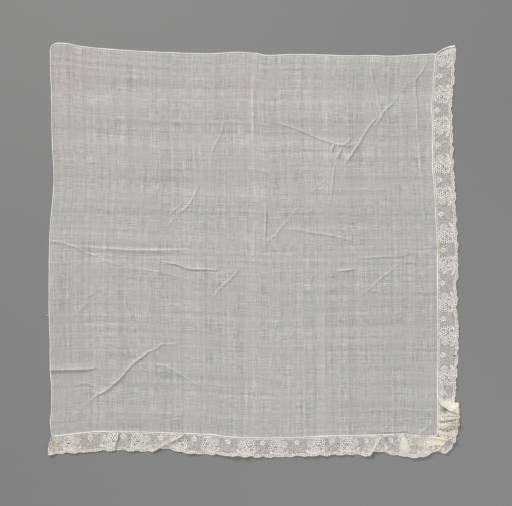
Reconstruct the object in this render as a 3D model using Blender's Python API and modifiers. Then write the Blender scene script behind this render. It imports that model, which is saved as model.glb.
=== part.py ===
"""Lace fichu: a square of sheer muslin with rolled hems, edged on two sides with net lace.

It lies flat and face up. +X is to the right and +Y to the top of the square, the origin is at
the middle of the whole piece, and z = 0 is the surface that it lies on. Units are metres; the
tables are in millimetres and have named columns.
"""
from collections import namedtuple
from math import ceil, cos, pi, sin

import bpy
from mathutils import Vector
from mathutils.geometry import delaunay_2d_cdt, intersect_point_line
from mathutils.kdtree import KDTree

MM = 0.001

# The muslin square: the straight lines that its four edges waver about
CLOTH_LEFT = -406.0
CLOTH_RIGHT = 367.0
CLOTH_LOW = -371.0
CLOTH_TOP = 392.0
CLOTH_THICK = 1.0
HEM_THICK = 2.0
HEM_WIDTH = 2.2
HEM_SLOPE = 0.8
HEM_STEP = 14.0
LATTICE = 42.0
CREST_APART = 4.0
CREST_FROM_HEM = 3.0
CREST_STEP = 2.4
FOOT_APART = 0.62
LATTICE_APART = 0.4

# The lace edging
LACE_THICK = 1.0
LACE_STEP = 7.7
LACE_COLUMNS = 4
SCALLOP = 23.0
SCALLOP_DEPTH = 1.3
SEAM_GAP = 0.35
HOLE_RADIUS = 2.2
HOLE_SIDES = 12
HOLE_PLACE = (401.0, -210.7)

# How far the lace's two cut ends bow out
LEFT_BOW = 2.4
TOP_BOW = -3.5

# Heights of the lace's middle surface: lying flat, and as the middle and top layer of a fold
FLAT = 0.5
SECOND = 2.1
THIRD = 3.7
TURN_STEPS = 4

Waver = namedtuple("Waver", "along off")
Stretch = namedtuple("Stretch", "start end")
Crease = namedtuple("Crease", "name half_width start middle end path")
Station = namedtuple(
    "Station", "seam seam_off edge_x edge_y seam_z edge_z turn bow", defaults=(0.0,)
)

# How far each edge of the muslin lies outside its straight line, at places along it
TOP_WAVER = [
    Waver(-390, 22.6), Waver(-370, 21.4), Waver(-352, 17.2), Waver(-318, 13.0),
    Waver(-266, 8.8), Waver(-181, 4.0), Waver(-100, 1.6), Waver(-74, 1.8), Waver(-34, 4.4),
    Waver(4, 2.2), Waver(24, -1.8), Waver(86, 0.2), Waver(200, -2.8), Waver(232, -2.0),
    Waver(275, -3.4), Waver(314, -1.4), Waver(365, 1.4),
]
LEFT_WAVER = [
    Waver(-372, -2.0), Waver(-344, 1.0), Waver(-321, -1.2), Waver(-272, -1.2),
    Waver(-236, 1.0), Waver(-174, 2.0), Waver(-109, 3.6), Waver(-11, 3.0), Waver(51, 1.0),
    Waver(99, -3.6), Waver(149, -6.2), Waver(201, -3.6), Waver(240, -2.2), Waver(318, -1.2),
    Waver(374, 1.0), Waver(400, 0.5),
]
LOW_WAVER = [
    Waver(-404, 0.9), Waver(-377, -1.7), Waver(-344, -5.7), Waver(-312, -8.3),
    Waver(-266, -8.9), Waver(-214, -7.3), Waver(-165, -5.7), Waver(-116, -3.9),
    Waver(-84, -2.3), Waver(-50, 1.9), Waver(4, 4.1), Waver(66, 4.1), Waver(135, 0.9),
    Waver(200, -0.7), Waver(266, -2.3), Waver(298, -3.9), Waver(337, 0.9), Waver(367, 0.0),
]
RIGHT_WAVER = [
    Waver(-371, 0.0), Waver(-337, 0.8), Waver(-207, 0.6), Waver(-109, 0.8), Waver(-11, 0.6),
    Waver(28, -0.8), Waver(77, -3.4), Waver(116, -5.0), Waver(158, -8.4), Waver(201, -9.0),
    Waver(240, -8.4), Waver(279, -10.6), Waver(305, -10.0), Waver(344, -6.6), Waver(370, -5.0),
    Waver(393, -2.2),
]

# The rounded top left corner of the square, and where its edges end beside it and at the right
RIGHT_ENDS = 392.6
TOP_ENDS = -390.0
LEFT_STARTS = 394.0
CORNER_ARC = [(-406.5, 402.0), (-404.5, 409.0), (-399.0, 413.6)]

# Creases that stand up from the cloth: crest heights at both ends and between them, and the
# way that the crest takes
CREASES = [
    Crease("diagonal_low", 9, 1.0, 2.6, 4.2, [
        (-392, -357), (-348, -315), (-317, -292), (-279, -261), (-256, -237)]),
    Crease("diagonal_ridge", 10, 4.2, 4.4, 3.0, [
        (-256, -237), (-237, -223), (-214, -204), (-194, -194), (-181, -188), (-155, -186)]),
    Crease("diagonal_middle", 8, 2.4, 1.8, 2.4, [
        (-181, -188), (-128, -141), (-74, -88), (-31, -34), (4, 11)]),
    Crease("diagonal_upper", 8, 2.4, 2.2, 3.0, [
        (4, 11), (44, 36), (63, 54), (102, 96), (135, 139), (160, 160)]),
    Crease("diagonal_high", 9, 3.0, 3.8, 1.0, [
        (160, 160), (182, 174), (200, 197), (230, 240), (262, 282), (298, 318), (323, 341),
        (346, 372)]),
    Crease("left_fold", 10, 3.6, 4.0, 3.0, [
        (-403, 19), (-384, 16), (-361, 10), (-338, 0), (-315, -8), (-292, -21)]),
    Crease("left_fold_run", 8, 3.0, 2.4, 1.0, [
        (-292, -21), (-260, -29), (-181, -44), (-116, -60), (-70, -73)]),
    Crease("left_fold_upper", 8, 1.2, 2.2, 0.8, [
        (-338, 9), (-279, 5), (-214, 1), (-139, 3)]),
    Crease("left_fold_lower", 7, 0.8, 1.8, 0.8, [
        (-201, -16), (-155, -29), (-126, -38), (-77, -42)]),
    Crease("hem_ridge", 9, 4.2, 3.8, 1.0, [(-403, -240), (-370, -241), (-325, -240)]),
    Crease("hem_ridge_tail", 8, 1.0, 2.2, 1.0, [(-348, -262), (-312, -271)]),
    Crease("short_upright", 7, 0.8, 1.8, 1.0, [
        (-260, -93), (-250, -122), (-237, -152), (-227, -171), (-222, -196)]),
    Crease("low_tail", 8, 1.0, 2.2, 0.8, [(-168, -233), (-126, -259), (-108, -271)]),
    Crease("branch", 9, 0.8, 2.6, 3.0, [
        (24, 259), (70, 250), (102, 237), (128, 227), (158, 214)]),
    Crease("branch_turn", 8, 3.0, 2.6, 0.8, [
        (158, 214), (174, 200), (164, 181), (158, 142), (154, 103)]),
    Crease("high_spur", 7, 0.8, 1.8, 1.0, [(233, 354), (246, 318), (252, 285)]),
    Crease("right_upright", 7, 1.4, 1.6, 0.6, [
        (323, 341), (323, 305), (327, 266), (328, 220), (332, 174)]),
    Crease("middle_run", 8, 1.0, 2.4, 0.8, [
        (70, 44), (102, 42), (135, 34), (187, 24), (213, 16), (240, 11)]),
    Crease("middle_upright", 7, 0.8, 2.0, 1.0, [(24, 90), (24, 60), (21, 30)]),
    Crease("right_spur", 7, 0.8, 1.8, 0.8, [(213, -86), (240, -67), (266, -44)]),
    Crease("left_spur", 8, 0.8, 2.0, 1.0, [
        (-171, 50), (-155, 73), (-132, 93), (-111, 129)]),
    Crease("left_spur_high", 8, 1.0, 2.0, 0.8, [
        (-139, 152), (-116, 174), (-86, 200), (-70, 223), (-59, 249)]),
]

# How wide the lace is below the bottom edge and beside the right edge, where it lies plain
LOW_REACH = [
    Waver(-404, 36.5), Waver(-377, 35.8), Waver(-344, 38.8), Waver(-312, 38.6),
    Waver(-266, 37.4), Waver(-227, 38.4), Waver(-100, 39.6), Waver(-50, 37.4), Waver(4, 37.4),
    Waver(37, 38.2), Waver(86, 37.2), Waver(135, 38.0), Waver(168, 37.4), Waver(200, 37.6),
]
RIGHT_REACH = [
    Waver(-290, 35.0), Waver(-246, 38.4), Waver(-207, 40.8), Waver(-145, 41.4),
    Waver(-122, 37.8), Waver(-99, 39.8), Waver(-76, 36.8), Waver(-43, 40.8), Waver(-11, 40.0),
    Waver(11, 41.0), Waver(44, 40.6), Waver(77, 40.4), Waver(149, 41.4), Waver(191, 40.6),
    Waver(240, 38.8), Waver(272, 39.6), Waver(305, 39.6), Waver(344, 40.6), Waver(374, 38.8),
]

# The stretches where it lies plain
LOW_PLAIN = [Stretch(-382, -293), Stretch(-257, -220), Stretch(-100, 202)]
SIDE_PLAIN = Stretch(-285, 373)

# The lace's folds along the bottom edge: the seam's place along X and how far it lies off the
# seam, the outer edge's place, both heights, whether the strip turns back there, and how far the
# middle of the line bows out
LOW_END = [
    Station(-404, 0, -412, -408.5, FLAT, FLAT, False, LEFT_BOW),
    Station(-400, 0, -405, -408.2, FLAT, FLAT, False),
    Station(-395, 0, -398, -407.5, FLAT, FLAT, False),
    Station(-389, 0, -390, -406.5, FLAT, FLAT, False),
]
SMALL_TUCK = [
    Station(-286, 0, -293, -401, 1.2, 1.4, False),
    Station(-279, 0, -287, -401, 3.4, THIRD, False),
    Station(-269, 0.8, -278, -400, THIRD, THIRD, True),
    Station(-273, 1.4, -283, -399, SECOND, SECOND, True),
    Station(-264, 0, -273, -399, FLAT, FLAT, False),
]
SLANTED_TUCK = [
    Station(-212, 0, -216, -402, FLAT, FLAT, False),
    Station(-190, 0, -211, -402, FLAT, 1.6, False),
    Station(-163, 0, -205.5, -402, 1.8, THIRD, False),
    Station(-137, 1.0, -200, -402, THIRD, THIRD, True),
    Station(-140, 2.2, -198, -397, SECOND, SECOND, True),
    Station(-134, 0, -187, -396, FLAT, FLAT, False),
    Station(-128, 0, -172, -396.5, FLAT, FLAT, False),
    Station(-120, 0, -155, -401, FLAT, FLAT, False),
    Station(-110, 0, -135, -405, FLAT, FLAT, False),
]
LONG_TUCK = [
    Station(212, 0, 208, -408, FLAT, FLAT, False),
    Station(228, 0, 215, -409, FLAT, 1.6, False),
    Station(242, 0, 219, -410, 2.4, 3.2, False),
    Station(250, 0, 223, -411, THIRD, THIRD, False),
    Station(257, 0.9, 231, -411, THIRD, THIRD, True),
    Station(254, 1.8, 227, -403, SECOND, SECOND, True),
    Station(259, 0, 239, -402, FLAT, FLAT, False),
    Station(265, 0, 252, -402, FLAT, FLAT, False),
    Station(272, 0, 263, -404, FLAT, FLAT, False),
]
TRIANGLE_TUCK = [
    Station(280, 0, 274, -408, 2.0, 1.2, False),
    Station(287, 0, 284, -410, 4.4, 3.5, False),
    Station(293, -0.6, 291, -411, 5.2, THIRD, False),
    Station(301, -3.0, 314, -401, 5.4, THIRD, True),
    Station(293, 1.2, 291, -409, 3.6, SECOND, True),
    Station(302, 0, 300, -412, FLAT, FLAT, False),
    Station(309, 0, 314, -414, FLAT, FLAT, False),
]
CORNER_TURN = [
    Station(320, 0, 326, -414, 0.9, FLAT, False),
    Station(334, 0, 338, -413, 2.6, 0.9, False),
    Station(346, -0.3, 350, -408, 4.4, 2.6, False),
    Station(356, -0.4, 360, -403, 4.6, THIRD, False),
    Station(368, 0.4, 366, -401, 4.2, THIRD, False),
    Station(379, 3.0, 369, -399.5, THIRD, THIRD, False),
    Station(389, 6.0, 371, -398, THIRD, THIRD, True),
    Station(369.6, 3.4, 367, -399, SECOND, SECOND, True),
]

# The fan of lace that turns the corner, and the gathers above it: here the seam's place is
# along Y beside the right edge, and the low edge's corner is its pivot
FAN = [
    Station(-374.3, 3.2, 373, -404, FLAT, FLAT, False),
    Station(-373.5, 3.5, 380, -406, FLAT, 2.0, False),
    Station(-372.8, 3.7, 387, -404, FLAT, 1.6, False),
    Station(-372.0, 3.7, 392, -400, FLAT, FLAT, False),
    Station(-371.2, 3.4, 396, -394, FLAT, 0.9, False),
    Station(-370.0, 2.8, 398, -388, FLAT, 1.6, False),
    Station(-368.4, 2.0, 403, -381, FLAT, 2.2, False),
    Station(-366.4, 1.1, 404, -376, FLAT, 1.2, False),
    Station(-363.5, 0.4, 407, -366, FLAT, FLAT, False),
    Station(-359.0, 0, 408.5, -358, FLAT, 0.8, False),
    Station(-355.0, 0, 408, -353, 1.6, 3.6, False),
    Station(-350.0, 0, 410.5, -349, 2.4, 4.0, False),
    Station(-346.0, 0, 410.5, -344.5, FLAT, 1.4, False),
    Station(-342.0, 0, 410.5, -340.5, 1.4, 4.2, False),
    Station(-338.0, 0, 411, -336.5, FLAT, 1.2, False),
    Station(-333.0, 0, 411.5, -332, 1.0, 1.6, False),
]
FLAP = [
    Station(-326.0, 0, 411.5, -327, FLAT, FLAT, False),
    Station(-317.0, 0, 411.5, -319, FLAT, FLAT, False),
    Station(-309.0, 0, 410.5, -312, FLAT, FLAT, False),
    Station(-301.0, 0.8, 409.5, -305.5, FLAT, FLAT, True),
    Station(-305.0, 1.8, 411, -327, SECOND, SECOND, True, 5.0),
    Station(-301.5, 1.0, 409, -320, THIRD, THIRD, False, 3.0),
    Station(-298.5, 0, 405, -312, THIRD, THIRD, False, 1.0),
    Station(-295.5, 0, 401, -303, 3.0, THIRD, False),
    Station(-292.0, 0, 401, -296, 1.4, 1.6, False),
]
TOP_END = [
    Station(380, 0, 403.0, 384, FLAT, FLAT, False),
    Station(384, 0, 404.5, 391, FLAT, FLAT, False),
    Station(388, 0, 404.5, 398, FLAT, FLAT, False),
    Station(391, 0, 404.0, 404.5, FLAT, FLAT, False, TOP_BOW / 2),
    Station(393, 0, 402.5, 410, FLAT, FLAT, False, TOP_BOW),
]

# Colours of the materials
MUSLIN_COLOUR = (0.62, 0.62, 0.58, 1.0)
LACE_COLOUR = (0.78, 0.74, 0.65, 1.0)


def clear_scene():
    """Remove every object of the opened file."""
    for old in list(bpy.data.objects):
        bpy.data.objects.remove(old, do_unlink=True)


def cloth_material(name, colour):
    """A plain matt material for one kind of cloth."""
    material = bpy.data.materials.new(name)
    material.use_nodes = True
    shader = material.node_tree.nodes["Principled BSDF"]
    shader.inputs["Base Color"].default_value = colour
    shader.inputs["Roughness"].default_value = 0.9
    shader.inputs["Metallic"].default_value = 0.0
    return material


def read_wave(table, along):
    """The smooth curve through a table of Waver rows, read at one place along it."""
    along = min(max(along, table[0].along), table[-1].along)
    last = len(table) - 2
    i = min(max(k for k, row in enumerate(table) if row.along <= along), last)
    before, a = table[max(i - 1, 0)], table[i]
    b, after = table[i + 1], table[min(i + 2, last + 1)]
    span = b.along - a.along
    t = (along - a.along) / span
    slope_a = (b.off - before.off) / (b.along - before.along) * span
    slope_b = (after.off - a.off) / (after.along - a.along) * span
    return (
        (2 * t**3 - 3 * t**2 + 1) * a.off + (t**3 - 2 * t**2 + t) * slope_a
        + (3 * t**2 - 2 * t**3) * b.off + (t**3 - t**2) * slope_b
    )


def low_seam(x):
    """The height along Y of the muslin's bottom edge."""
    return CLOTH_LOW - read_wave(LOW_WAVER, x)


def right_seam(y):
    """The place along X of the muslin's right edge."""
    return CLOTH_RIGHT + read_wave(RIGHT_WAVER, y)


def top_hem(x):
    """The height along Y of the muslin's top edge."""
    return CLOTH_TOP + read_wave(TOP_WAVER, x)


def left_hem(y):
    """The place along X of the muslin's left edge."""
    return CLOTH_LEFT - read_wave(LEFT_WAVER, y)


def spread(start, end, step):
    """Even places from start to end, both included, at most one step apart."""
    count = max(1, ceil(abs(end - start) / step))
    return [start + (end - start) * i / count for i in range(count + 1)]


def cloth_outline():
    """The muslin's edge, anticlockwise from its bottom left corner, as 2D points."""
    start, end = left_hem(CLOTH_LOW), right_seam(CLOTH_LOW)
    low = [Vector((x, low_seam(x))) for x in spread(start, end, HEM_STEP)]
    right = [Vector((right_seam(y), y)) for y in spread(low[-1].y, RIGHT_ENDS, HEM_STEP)]
    top = [Vector((x, top_hem(x))) for x in spread(right[-1].x, TOP_ENDS, HEM_STEP)]
    corner = [Vector(p) for p in reversed(CORNER_ARC)]
    left = [Vector((left_hem(y), y)) for y in spread(LEFT_STARTS, low[0].y, HEM_STEP)]
    return low + right[1:] + top[1:] + corner + left[:-1]


def inward(outline, distance):
    """The outline moved inwards by a distance."""
    moved = []
    for i, p in enumerate(outline):
        along = (outline[(i + 1) % len(outline)] - outline[i - 1]).normalized()
        moved.append(p + Vector((-along.y, along.x)) * distance)
    return moved


def crest_points(crease):
    """The crest's way, with points no more than CREST_STEP half-widths apart."""
    path = [Vector(p) for p in crease.path]
    points = [path[0]]
    for a, b in zip(path, path[1:]):
        steps = max(1, ceil((b - a).length / (CREST_STEP * crease.half_width)))
        points += [a.lerp(b, k / steps) for k in range(1, steps + 1)]
    return points


def crease_height(crease, place):
    """How high one crease lifts the cloth at a place."""
    path = [Vector(p) for p in crease.path]
    whole = sum((b - a).length for a, b in zip(path, path[1:]))
    best = (crease.half_width, 0.0)
    run = 0.0
    for a, b in zip(path, path[1:]):
        length = (b - a).length
        foot, t = intersect_point_line(place, a, b)
        t = min(max(t, 0.0), 1.0)
        distance = (place - a.lerp(b, t)).length
        if distance < best[0]:
            best = (distance, (run + t * length) / whole)
        run += length
    distance, s = best
    if distance >= crease.half_width:
        return 0.0
    if s < 0.5:
        crest = crease.start + (crease.middle - crease.start) * sin(pi * s)
    else:
        crest = crease.end + (crease.middle - crease.end) * sin(pi * s)
    return crest * (1.0 - distance / crease.half_width) ** 1.5


def cloth_height(place):
    """The height of the cloth's underside at a place."""
    return max(crease_height(crease, place) for crease in CREASES)


def nearest_of(points):
    """A search tree over 2D points."""
    tree = KDTree(len(points))
    for i, p in enumerate(points):
        tree.insert(p.to_3d(), i)
    tree.balance()
    return tree


def keep_apart(points, places, apart):
    """Those of the places that lie far enough from the points and from each other."""
    tree = nearest_of(points)
    fresh = []
    for place in places:
        _, _, distance = tree.find(place.to_3d())
        if distance >= apart and all((place - other).length >= apart for other in fresh):
            fresh.append(place)
    return fresh


def inside_by(outline, rim, place, margin):
    """Whether a place is inside the outline and at least a margin from its points."""
    _, i, distance = rim.find(place.to_3d())
    along = outline[(i + 1) % len(outline)] - outline[i - 1]
    return along.cross(place - outline[i]) > 0 and distance > margin


def hem_points(outline):
    """The outline and the two lines inside it that the rolled hem needs, and their edges."""
    count = len(outline)
    points, edges = [], []
    for distance in (0.0, HEM_WIDTH - HEM_SLOPE, HEM_WIDTH):
        first = len(points)
        points += inward(outline, distance)
        edges += [(first + i, first + (i + 1) % count) for i in range(count)]
    return points, edges


def crest_chain(crease, points, fits):
    """Add one crease's crest to the points, and return the edges that join it up."""
    chain = []
    for p in crest_points(crease):
        _, i, distance = nearest_of(points).find(p.to_3d())
        if distance > CREST_APART:
            if not fits(p, HEM_WIDTH + CREST_FROM_HEM):
                continue
            points.append(p)
            i = len(points) - 1
        if not chain or chain[-1] != i:
            chain.append(i)
    return list(zip(chain, chain[1:]))


def foot_points(crease):
    """The places on both sides of a crest where its slopes meet the flat cloth."""
    crest = crest_points(crease)
    feet = []
    for a, b in zip(crest, crest[1:]):
        along = (b - a).normalized()
        across = Vector((-along.y, along.x)) * crease.half_width
        feet += [a.lerp(b, 0.5) + across, a.lerp(b, 0.5) - across]
    return feet


def lattice_points():
    """A staggered lattice over the whole square."""
    places = []
    for j, y in enumerate(spread(CLOTH_LOW, CLOTH_TOP, LATTICE)):
        shift = 0.25 * LATTICE * (1 if j % 2 else -1)
        places += [Vector((x + shift, y)) for x in spread(CLOTH_LEFT, CLOTH_RIGHT, LATTICE)]
    return places


def cloth_sheet():
    """The creased square as a sheet: its points, its faces and which points are the hem's."""
    outline = cloth_outline()
    rim = nearest_of(outline)
    points, edges = hem_points(outline)
    hem_count = 2 * len(outline)

    def fits(place, margin):
        return inside_by(outline, rim, place, margin)

    for crease in CREASES:
        edges += crest_chain(crease, points, fits)
    for crease in CREASES:
        feet = [p for p in foot_points(crease) if fits(p, HEM_WIDTH + CREST_FROM_HEM)]
        points += keep_apart(points, feet, FOOT_APART * crease.half_width)
    apart = LATTICE_APART * LATTICE
    lattice = [p for p in lattice_points() if fits(p, apart)]
    points += keep_apart(points, lattice, apart)

    places, _, faces, origins, _, _ = delaunay_2d_cdt(points, edges, [], 1, 1e-4)
    hem = [i for i, olds in enumerate(origins) if any(old < hem_count for old in olds)]
    raised = [Vector((p.x, p.y, cloth_height(p))) * MM for p in places]
    return raised, faces, hem


def muslin_square(collection):
    """The muslin with its rolled hems: one sheet, creased, with a thicker rim."""
    vertices, faces, hem = cloth_sheet()
    mesh = bpy.data.meshes.new("muslin_square")
    mesh.from_pydata(vertices, [], faces)
    if mesh.polygons[0].normal.z < 0:
        mesh.flip_normals()
    mesh.shade_smooth()
    square = bpy.data.objects.new("muslin_square", mesh)
    collection.objects.link(square)

    thick = square.vertex_groups.new(name="thick")
    thick.add(range(len(vertices)), CLOTH_THICK / HEM_THICK, "REPLACE")
    thick.add(hem, 1.0, "REPLACE")
    cloth = square.modifiers.new("cloth", "SOLIDIFY")
    cloth.thickness = HEM_THICK * MM
    cloth.offset = 1.0
    cloth.vertex_group = "thick"
    square.data.materials.append(cloth_material("sheer muslin", MUSLIN_COLOUR))
    return square


def low_station(row):
    """A row of the bottom stretch: its seam and edge points, its turn and its bow."""
    seam = Vector((row.seam, low_seam(row.seam) - SEAM_GAP - row.seam_off, row.seam_z))
    return seam, Vector((row.edge_x, row.edge_y, row.edge_z)), row.turn, row.bow


def side_station(row):
    """A row of the right stretch: its seam and edge points, its turn and its bow."""
    seam = Vector((right_seam(row.seam) + SEAM_GAP + row.seam_off, row.seam, row.seam_z))
    return seam, Vector((row.edge_x, row.edge_y, row.edge_z)), row.turn, row.bow


def plain_low(stretch):
    """Rows where the bottom stretch lies plain."""
    rows = []
    for x in spread(stretch.start, stretch.end, LACE_STEP):
        edge_y = low_seam(x) - read_wave(LOW_REACH, x)
        rows.append(low_station(Station(x, 0, x, edge_y, FLAT, FLAT, False)))
    return rows


def plain_side(stretch):
    """Rows where the right stretch lies plain."""
    rows = []
    for y in spread(stretch.start, stretch.end, LACE_STEP):
        edge_x = right_seam(y) + read_wave(RIGHT_REACH, y)
        rows.append(side_station(Station(y, 0, edge_x, y, FLAT, FLAT, False)))
    return rows


def lace_stations():
    """Every row of the edging, from its bottom left end to its top right end."""
    stations = [low_station(row) for row in LOW_END]
    corner = LONG_TUCK + TRIANGLE_TUCK + CORNER_TURN
    for stretch, folds in zip(LOW_PLAIN, (SMALL_TUCK, SLANTED_TUCK, corner)):
        stations += plain_low(stretch) + [low_station(row) for row in folds]
    stations += [side_station(row) for row in FAN + FLAP]
    stations += plain_side(SIDE_PLAIN) + [side_station(row) for row in TOP_END]
    return stations


def turned(seam, edge, before, next_z):
    """Half a round turn of the strip from one layer to the next, about a fold's line."""
    line = (edge - seam).to_2d().normalized()
    ahead = Vector((line.y, -line.x))
    travel = (seam.lerp(edge, 0.5) - before).to_2d()
    if ahead.dot(travel) < 0:
        ahead = -ahead
    rows = []
    for k in range(TURN_STEPS + 1):
        angle = pi * k / TURN_STEPS
        pair = []
        for point, z_next in ((seam, next_z[0]), (edge, next_z[1])):
            radius = 0.5 * abs(z_next - point.z)
            out = ahead * (radius * sin(angle))
            z = point.z + (z_next - point.z) * 0.5 * (1.0 - cos(angle))
            pair.append(Vector((point.x + out.x, point.y + out.y, z)))
        rows.append(pair)
    return rows


def lace_rows():
    """The strip's rows, each a seam point and an edge point, with the folds' round turns."""
    stations = lace_stations()
    rows = []
    for i, (seam, edge, turn, bow) in enumerate(stations):
        if not turn:
            rows.append((seam, edge, bow))
            continue
        after_seam, after_edge, after_turn, _ = stations[i + 1]
        before = rows[-1][0].lerp(rows[-1][1], 0.5)
        if after_turn:
            next_z = (after_seam.z, after_edge.z)
        elif after_edge.z < edge.z:
            next_z = (FLAT, FLAT)
        else:
            next_z = (THIRD, THIRD)
        rows += [(*pair, bow) for pair in turned(seam, edge, before, next_z)]
    return rows


def across_strip(seam, edge, bow, t):
    """A point on a row, part of the way from the seam to the outer edge."""
    line = (edge - seam).to_2d().normalized()
    point = seam.lerp(edge, t)
    point.z = seam.z + (edge.z - seam.z) * t * t
    point += Vector((line.y, -line.x, 0.0)) * (4.0 * t * (1.0 - t) * bow)
    return point


def hole_cutter():
    """The rod that cuts the one hole wider than 4 mm, near the right stretch's outer edge."""
    cutters = bpy.data.collections.new("cutters")
    bpy.context.scene.collection.children.link(cutters)
    bpy.ops.mesh.primitive_cylinder_add(
        vertices=HOLE_SIDES, radius=HOLE_RADIUS * MM, depth=4 * LACE_THICK * MM,
        location=(HOLE_PLACE[0] * MM, HOLE_PLACE[1] * MM, FLAT * MM),
    )
    rod = bpy.context.object
    rod.name = "hole_cutter"
    for home in list(rod.users_collection):
        home.objects.unlink(rod)
    cutters.objects.link(rod)
    rod.hide_render = True
    rod.display_type = "WIRE"
    return rod


def lace_edging(collection):
    """The lace edging: one strip, laid through its stations, with thickness."""
    rows = lace_rows()
    across = LACE_COLUMNS + 1
    vertices, run = [], 0.0
    for i, (seam, edge, bow) in enumerate(rows):
        if i:
            run += (edge - rows[i - 1][1]).length
        out = (edge - seam).normalized()
        ripple = SCALLOP_DEPTH * (abs(sin(pi * run / SCALLOP)) - 0.64)
        for j in range(across):
            t = j / LACE_COLUMNS
            point = across_strip(seam, edge, bow, t)
            if j == LACE_COLUMNS:
                point = point + out * ripple
            vertices.append(point * MM)
    faces = []
    for i in range(len(rows) - 1):
        for j in range(LACE_COLUMNS):
            a = i * across + j
            faces.append((a, a + 1, a + across + 1, a + across))
    mesh = bpy.data.meshes.new("lace_edging")
    mesh.from_pydata(vertices, [], faces)
    if mesh.polygons[0].normal.z < 0:
        mesh.flip_normals()
    mesh.shade_smooth()
    edging = bpy.data.objects.new("lace_edging", mesh)
    collection.objects.link(edging)
    net = edging.modifiers.new("net", "SOLIDIFY")
    net.thickness = LACE_THICK * MM
    net.offset = 0.0
    net.use_even_offset = True
    hole = edging.modifiers.new("hole", "BOOLEAN")
    hole.operation = "DIFFERENCE"
    hole.object = hole_cutter()
    edging.data.materials.append(cloth_material("net lace", LACE_COLOUR))
    return edging


def main():
    """Build the fichu's two pieces in a collection of their own."""
    clear_scene()
    fichu = bpy.data.collections.new("lace_fichu")
    bpy.context.scene.collection.children.link(fichu)
    muslin_square(fichu)
    lace_edging(fichu)


main()
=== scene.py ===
# %% [markdown]
# # A lace-edged muslin fichu, laid flat
#
# A fichu is a square neckerchief. This one is sheer white muslin with two rolled hems, edged on its
# other two sides with narrow net lace. It lies face up, and the light rakes over it from the upper
# left, so what the eye reads is the weave, the lace's pattern, and the creases of old foldings.
#
# The lesson makes the light and the camera first, then the muslin, then the lace, which is drawn as
# one flat repeat and then laid along the cloth's two edges with all its tucks.

# %% Load the solid model that everything fits
from collections import namedtuple
from math import ceil, cos, pi, radians, sin, tau

import bpy
import numpy as np
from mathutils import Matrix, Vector
from mathutils.geometry import delaunay_2d_cdt


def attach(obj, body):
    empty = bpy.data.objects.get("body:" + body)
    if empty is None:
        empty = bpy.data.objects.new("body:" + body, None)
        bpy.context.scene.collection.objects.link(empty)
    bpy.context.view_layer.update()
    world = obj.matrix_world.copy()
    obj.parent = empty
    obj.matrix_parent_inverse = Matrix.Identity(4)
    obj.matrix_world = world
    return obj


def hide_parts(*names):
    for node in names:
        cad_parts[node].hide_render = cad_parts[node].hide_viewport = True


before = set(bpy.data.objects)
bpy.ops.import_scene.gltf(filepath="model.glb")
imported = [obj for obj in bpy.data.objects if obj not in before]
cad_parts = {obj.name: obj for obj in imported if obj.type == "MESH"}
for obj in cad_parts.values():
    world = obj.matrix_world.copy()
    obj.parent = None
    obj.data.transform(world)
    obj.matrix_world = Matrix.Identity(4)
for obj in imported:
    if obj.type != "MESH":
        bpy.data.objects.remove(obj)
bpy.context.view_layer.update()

MM = 0.001


# %% [markdown]
# ## Small helpers
#
# Colours are picked from the real cloth as sRGB hex values, and Blender's sockets want linear light.
# Every material and every Geometry Nodes tree below is built by adding nodes one by one, so one
# function adds a node, sets its settings, and fills or links its inputs. Another starts a material.

# %% Colours and nodes
def linear(hex_colour, alpha=1.0):
    """An sRGB hex colour as the linear RGBA that a socket takes."""
    shares = [int(hex_colour[i:i + 2], 16) / 255 for i in (1, 3, 5)]
    return (*[c / 12.92 if c <= 0.04045 else ((c + 0.055) / 1.055) ** 2.4 for c in shares], alpha)


def node(tree, kind, inputs=None, **settings):
    """Add a node. Each input is a plain value, or the output socket that it is linked from."""
    made = tree.nodes.new(kind)
    for name, value in settings.items():
        setattr(made, name, value)
    for socket, value in (inputs or {}).items():
        if isinstance(value, bpy.types.NodeSocket):
            tree.links.new(value, made.inputs[socket])
        else:
            made.inputs[socket].default_value = value
    return made


def new_material(name):
    """A material with only its output: the node tree and the output node."""
    material = bpy.data.materials.new(name)
    material.use_nodes = True
    tree = material.node_tree
    tree.nodes.clear()
    return material, tree, node(tree, "ShaderNodeOutputMaterial")


print("floor grey in linear light:", [round(c, 3) for c in linear("#858585")])


# %% [markdown]
# ## Camera, floor and light
#
# The camera looks straight down with a long lens, so that the cloth shows almost as it would in a
# flat scan. One image pixel covers 2 mm of cloth. The floor is a matt grey sheet with two broad pools
# of light painted onto it. A large soft lamp stands low at the upper left, which is what makes a
# crease 3 mm high show a light and a dark flank, and the pale world around it fills the shadows.

# %% Camera
PIXEL = 2.0 * MM
IMAGE_WIDTH = 512
SENSOR = 36.0
LENS = 85.0
VIEW_CENTRE = (0.0044, -0.0051)

camera_data = bpy.data.cameras.new("camera")
camera_data.sensor_width = SENSOR
camera_data.lens = LENS
camera = bpy.data.objects.new("camera", camera_data)
camera.location = (*VIEW_CENTRE, PIXEL * IMAGE_WIDTH * LENS / SENSOR)
bpy.context.scene.collection.objects.link(camera)
bpy.context.scene.camera = camera
bpy.context.scene.view_settings.view_transform = "Standard"
print("camera height:", round(camera.location.z, 3), "m")

# %% Floor
FLOOR_SIDE = 8.0

# Each row paints a soft round pool of light on the floor: its grey is made lighter towards the middle.
PaintedLightPool = namedtuple("PaintedLightPool", "x y radius strength")
PAINTED_LIGHT_POOLS = [PaintedLightPool(-0.2, 0.62, 0.82, 0.135), PaintedLightPool(0.28, -0.55, 1.0, 0.11)]

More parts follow.
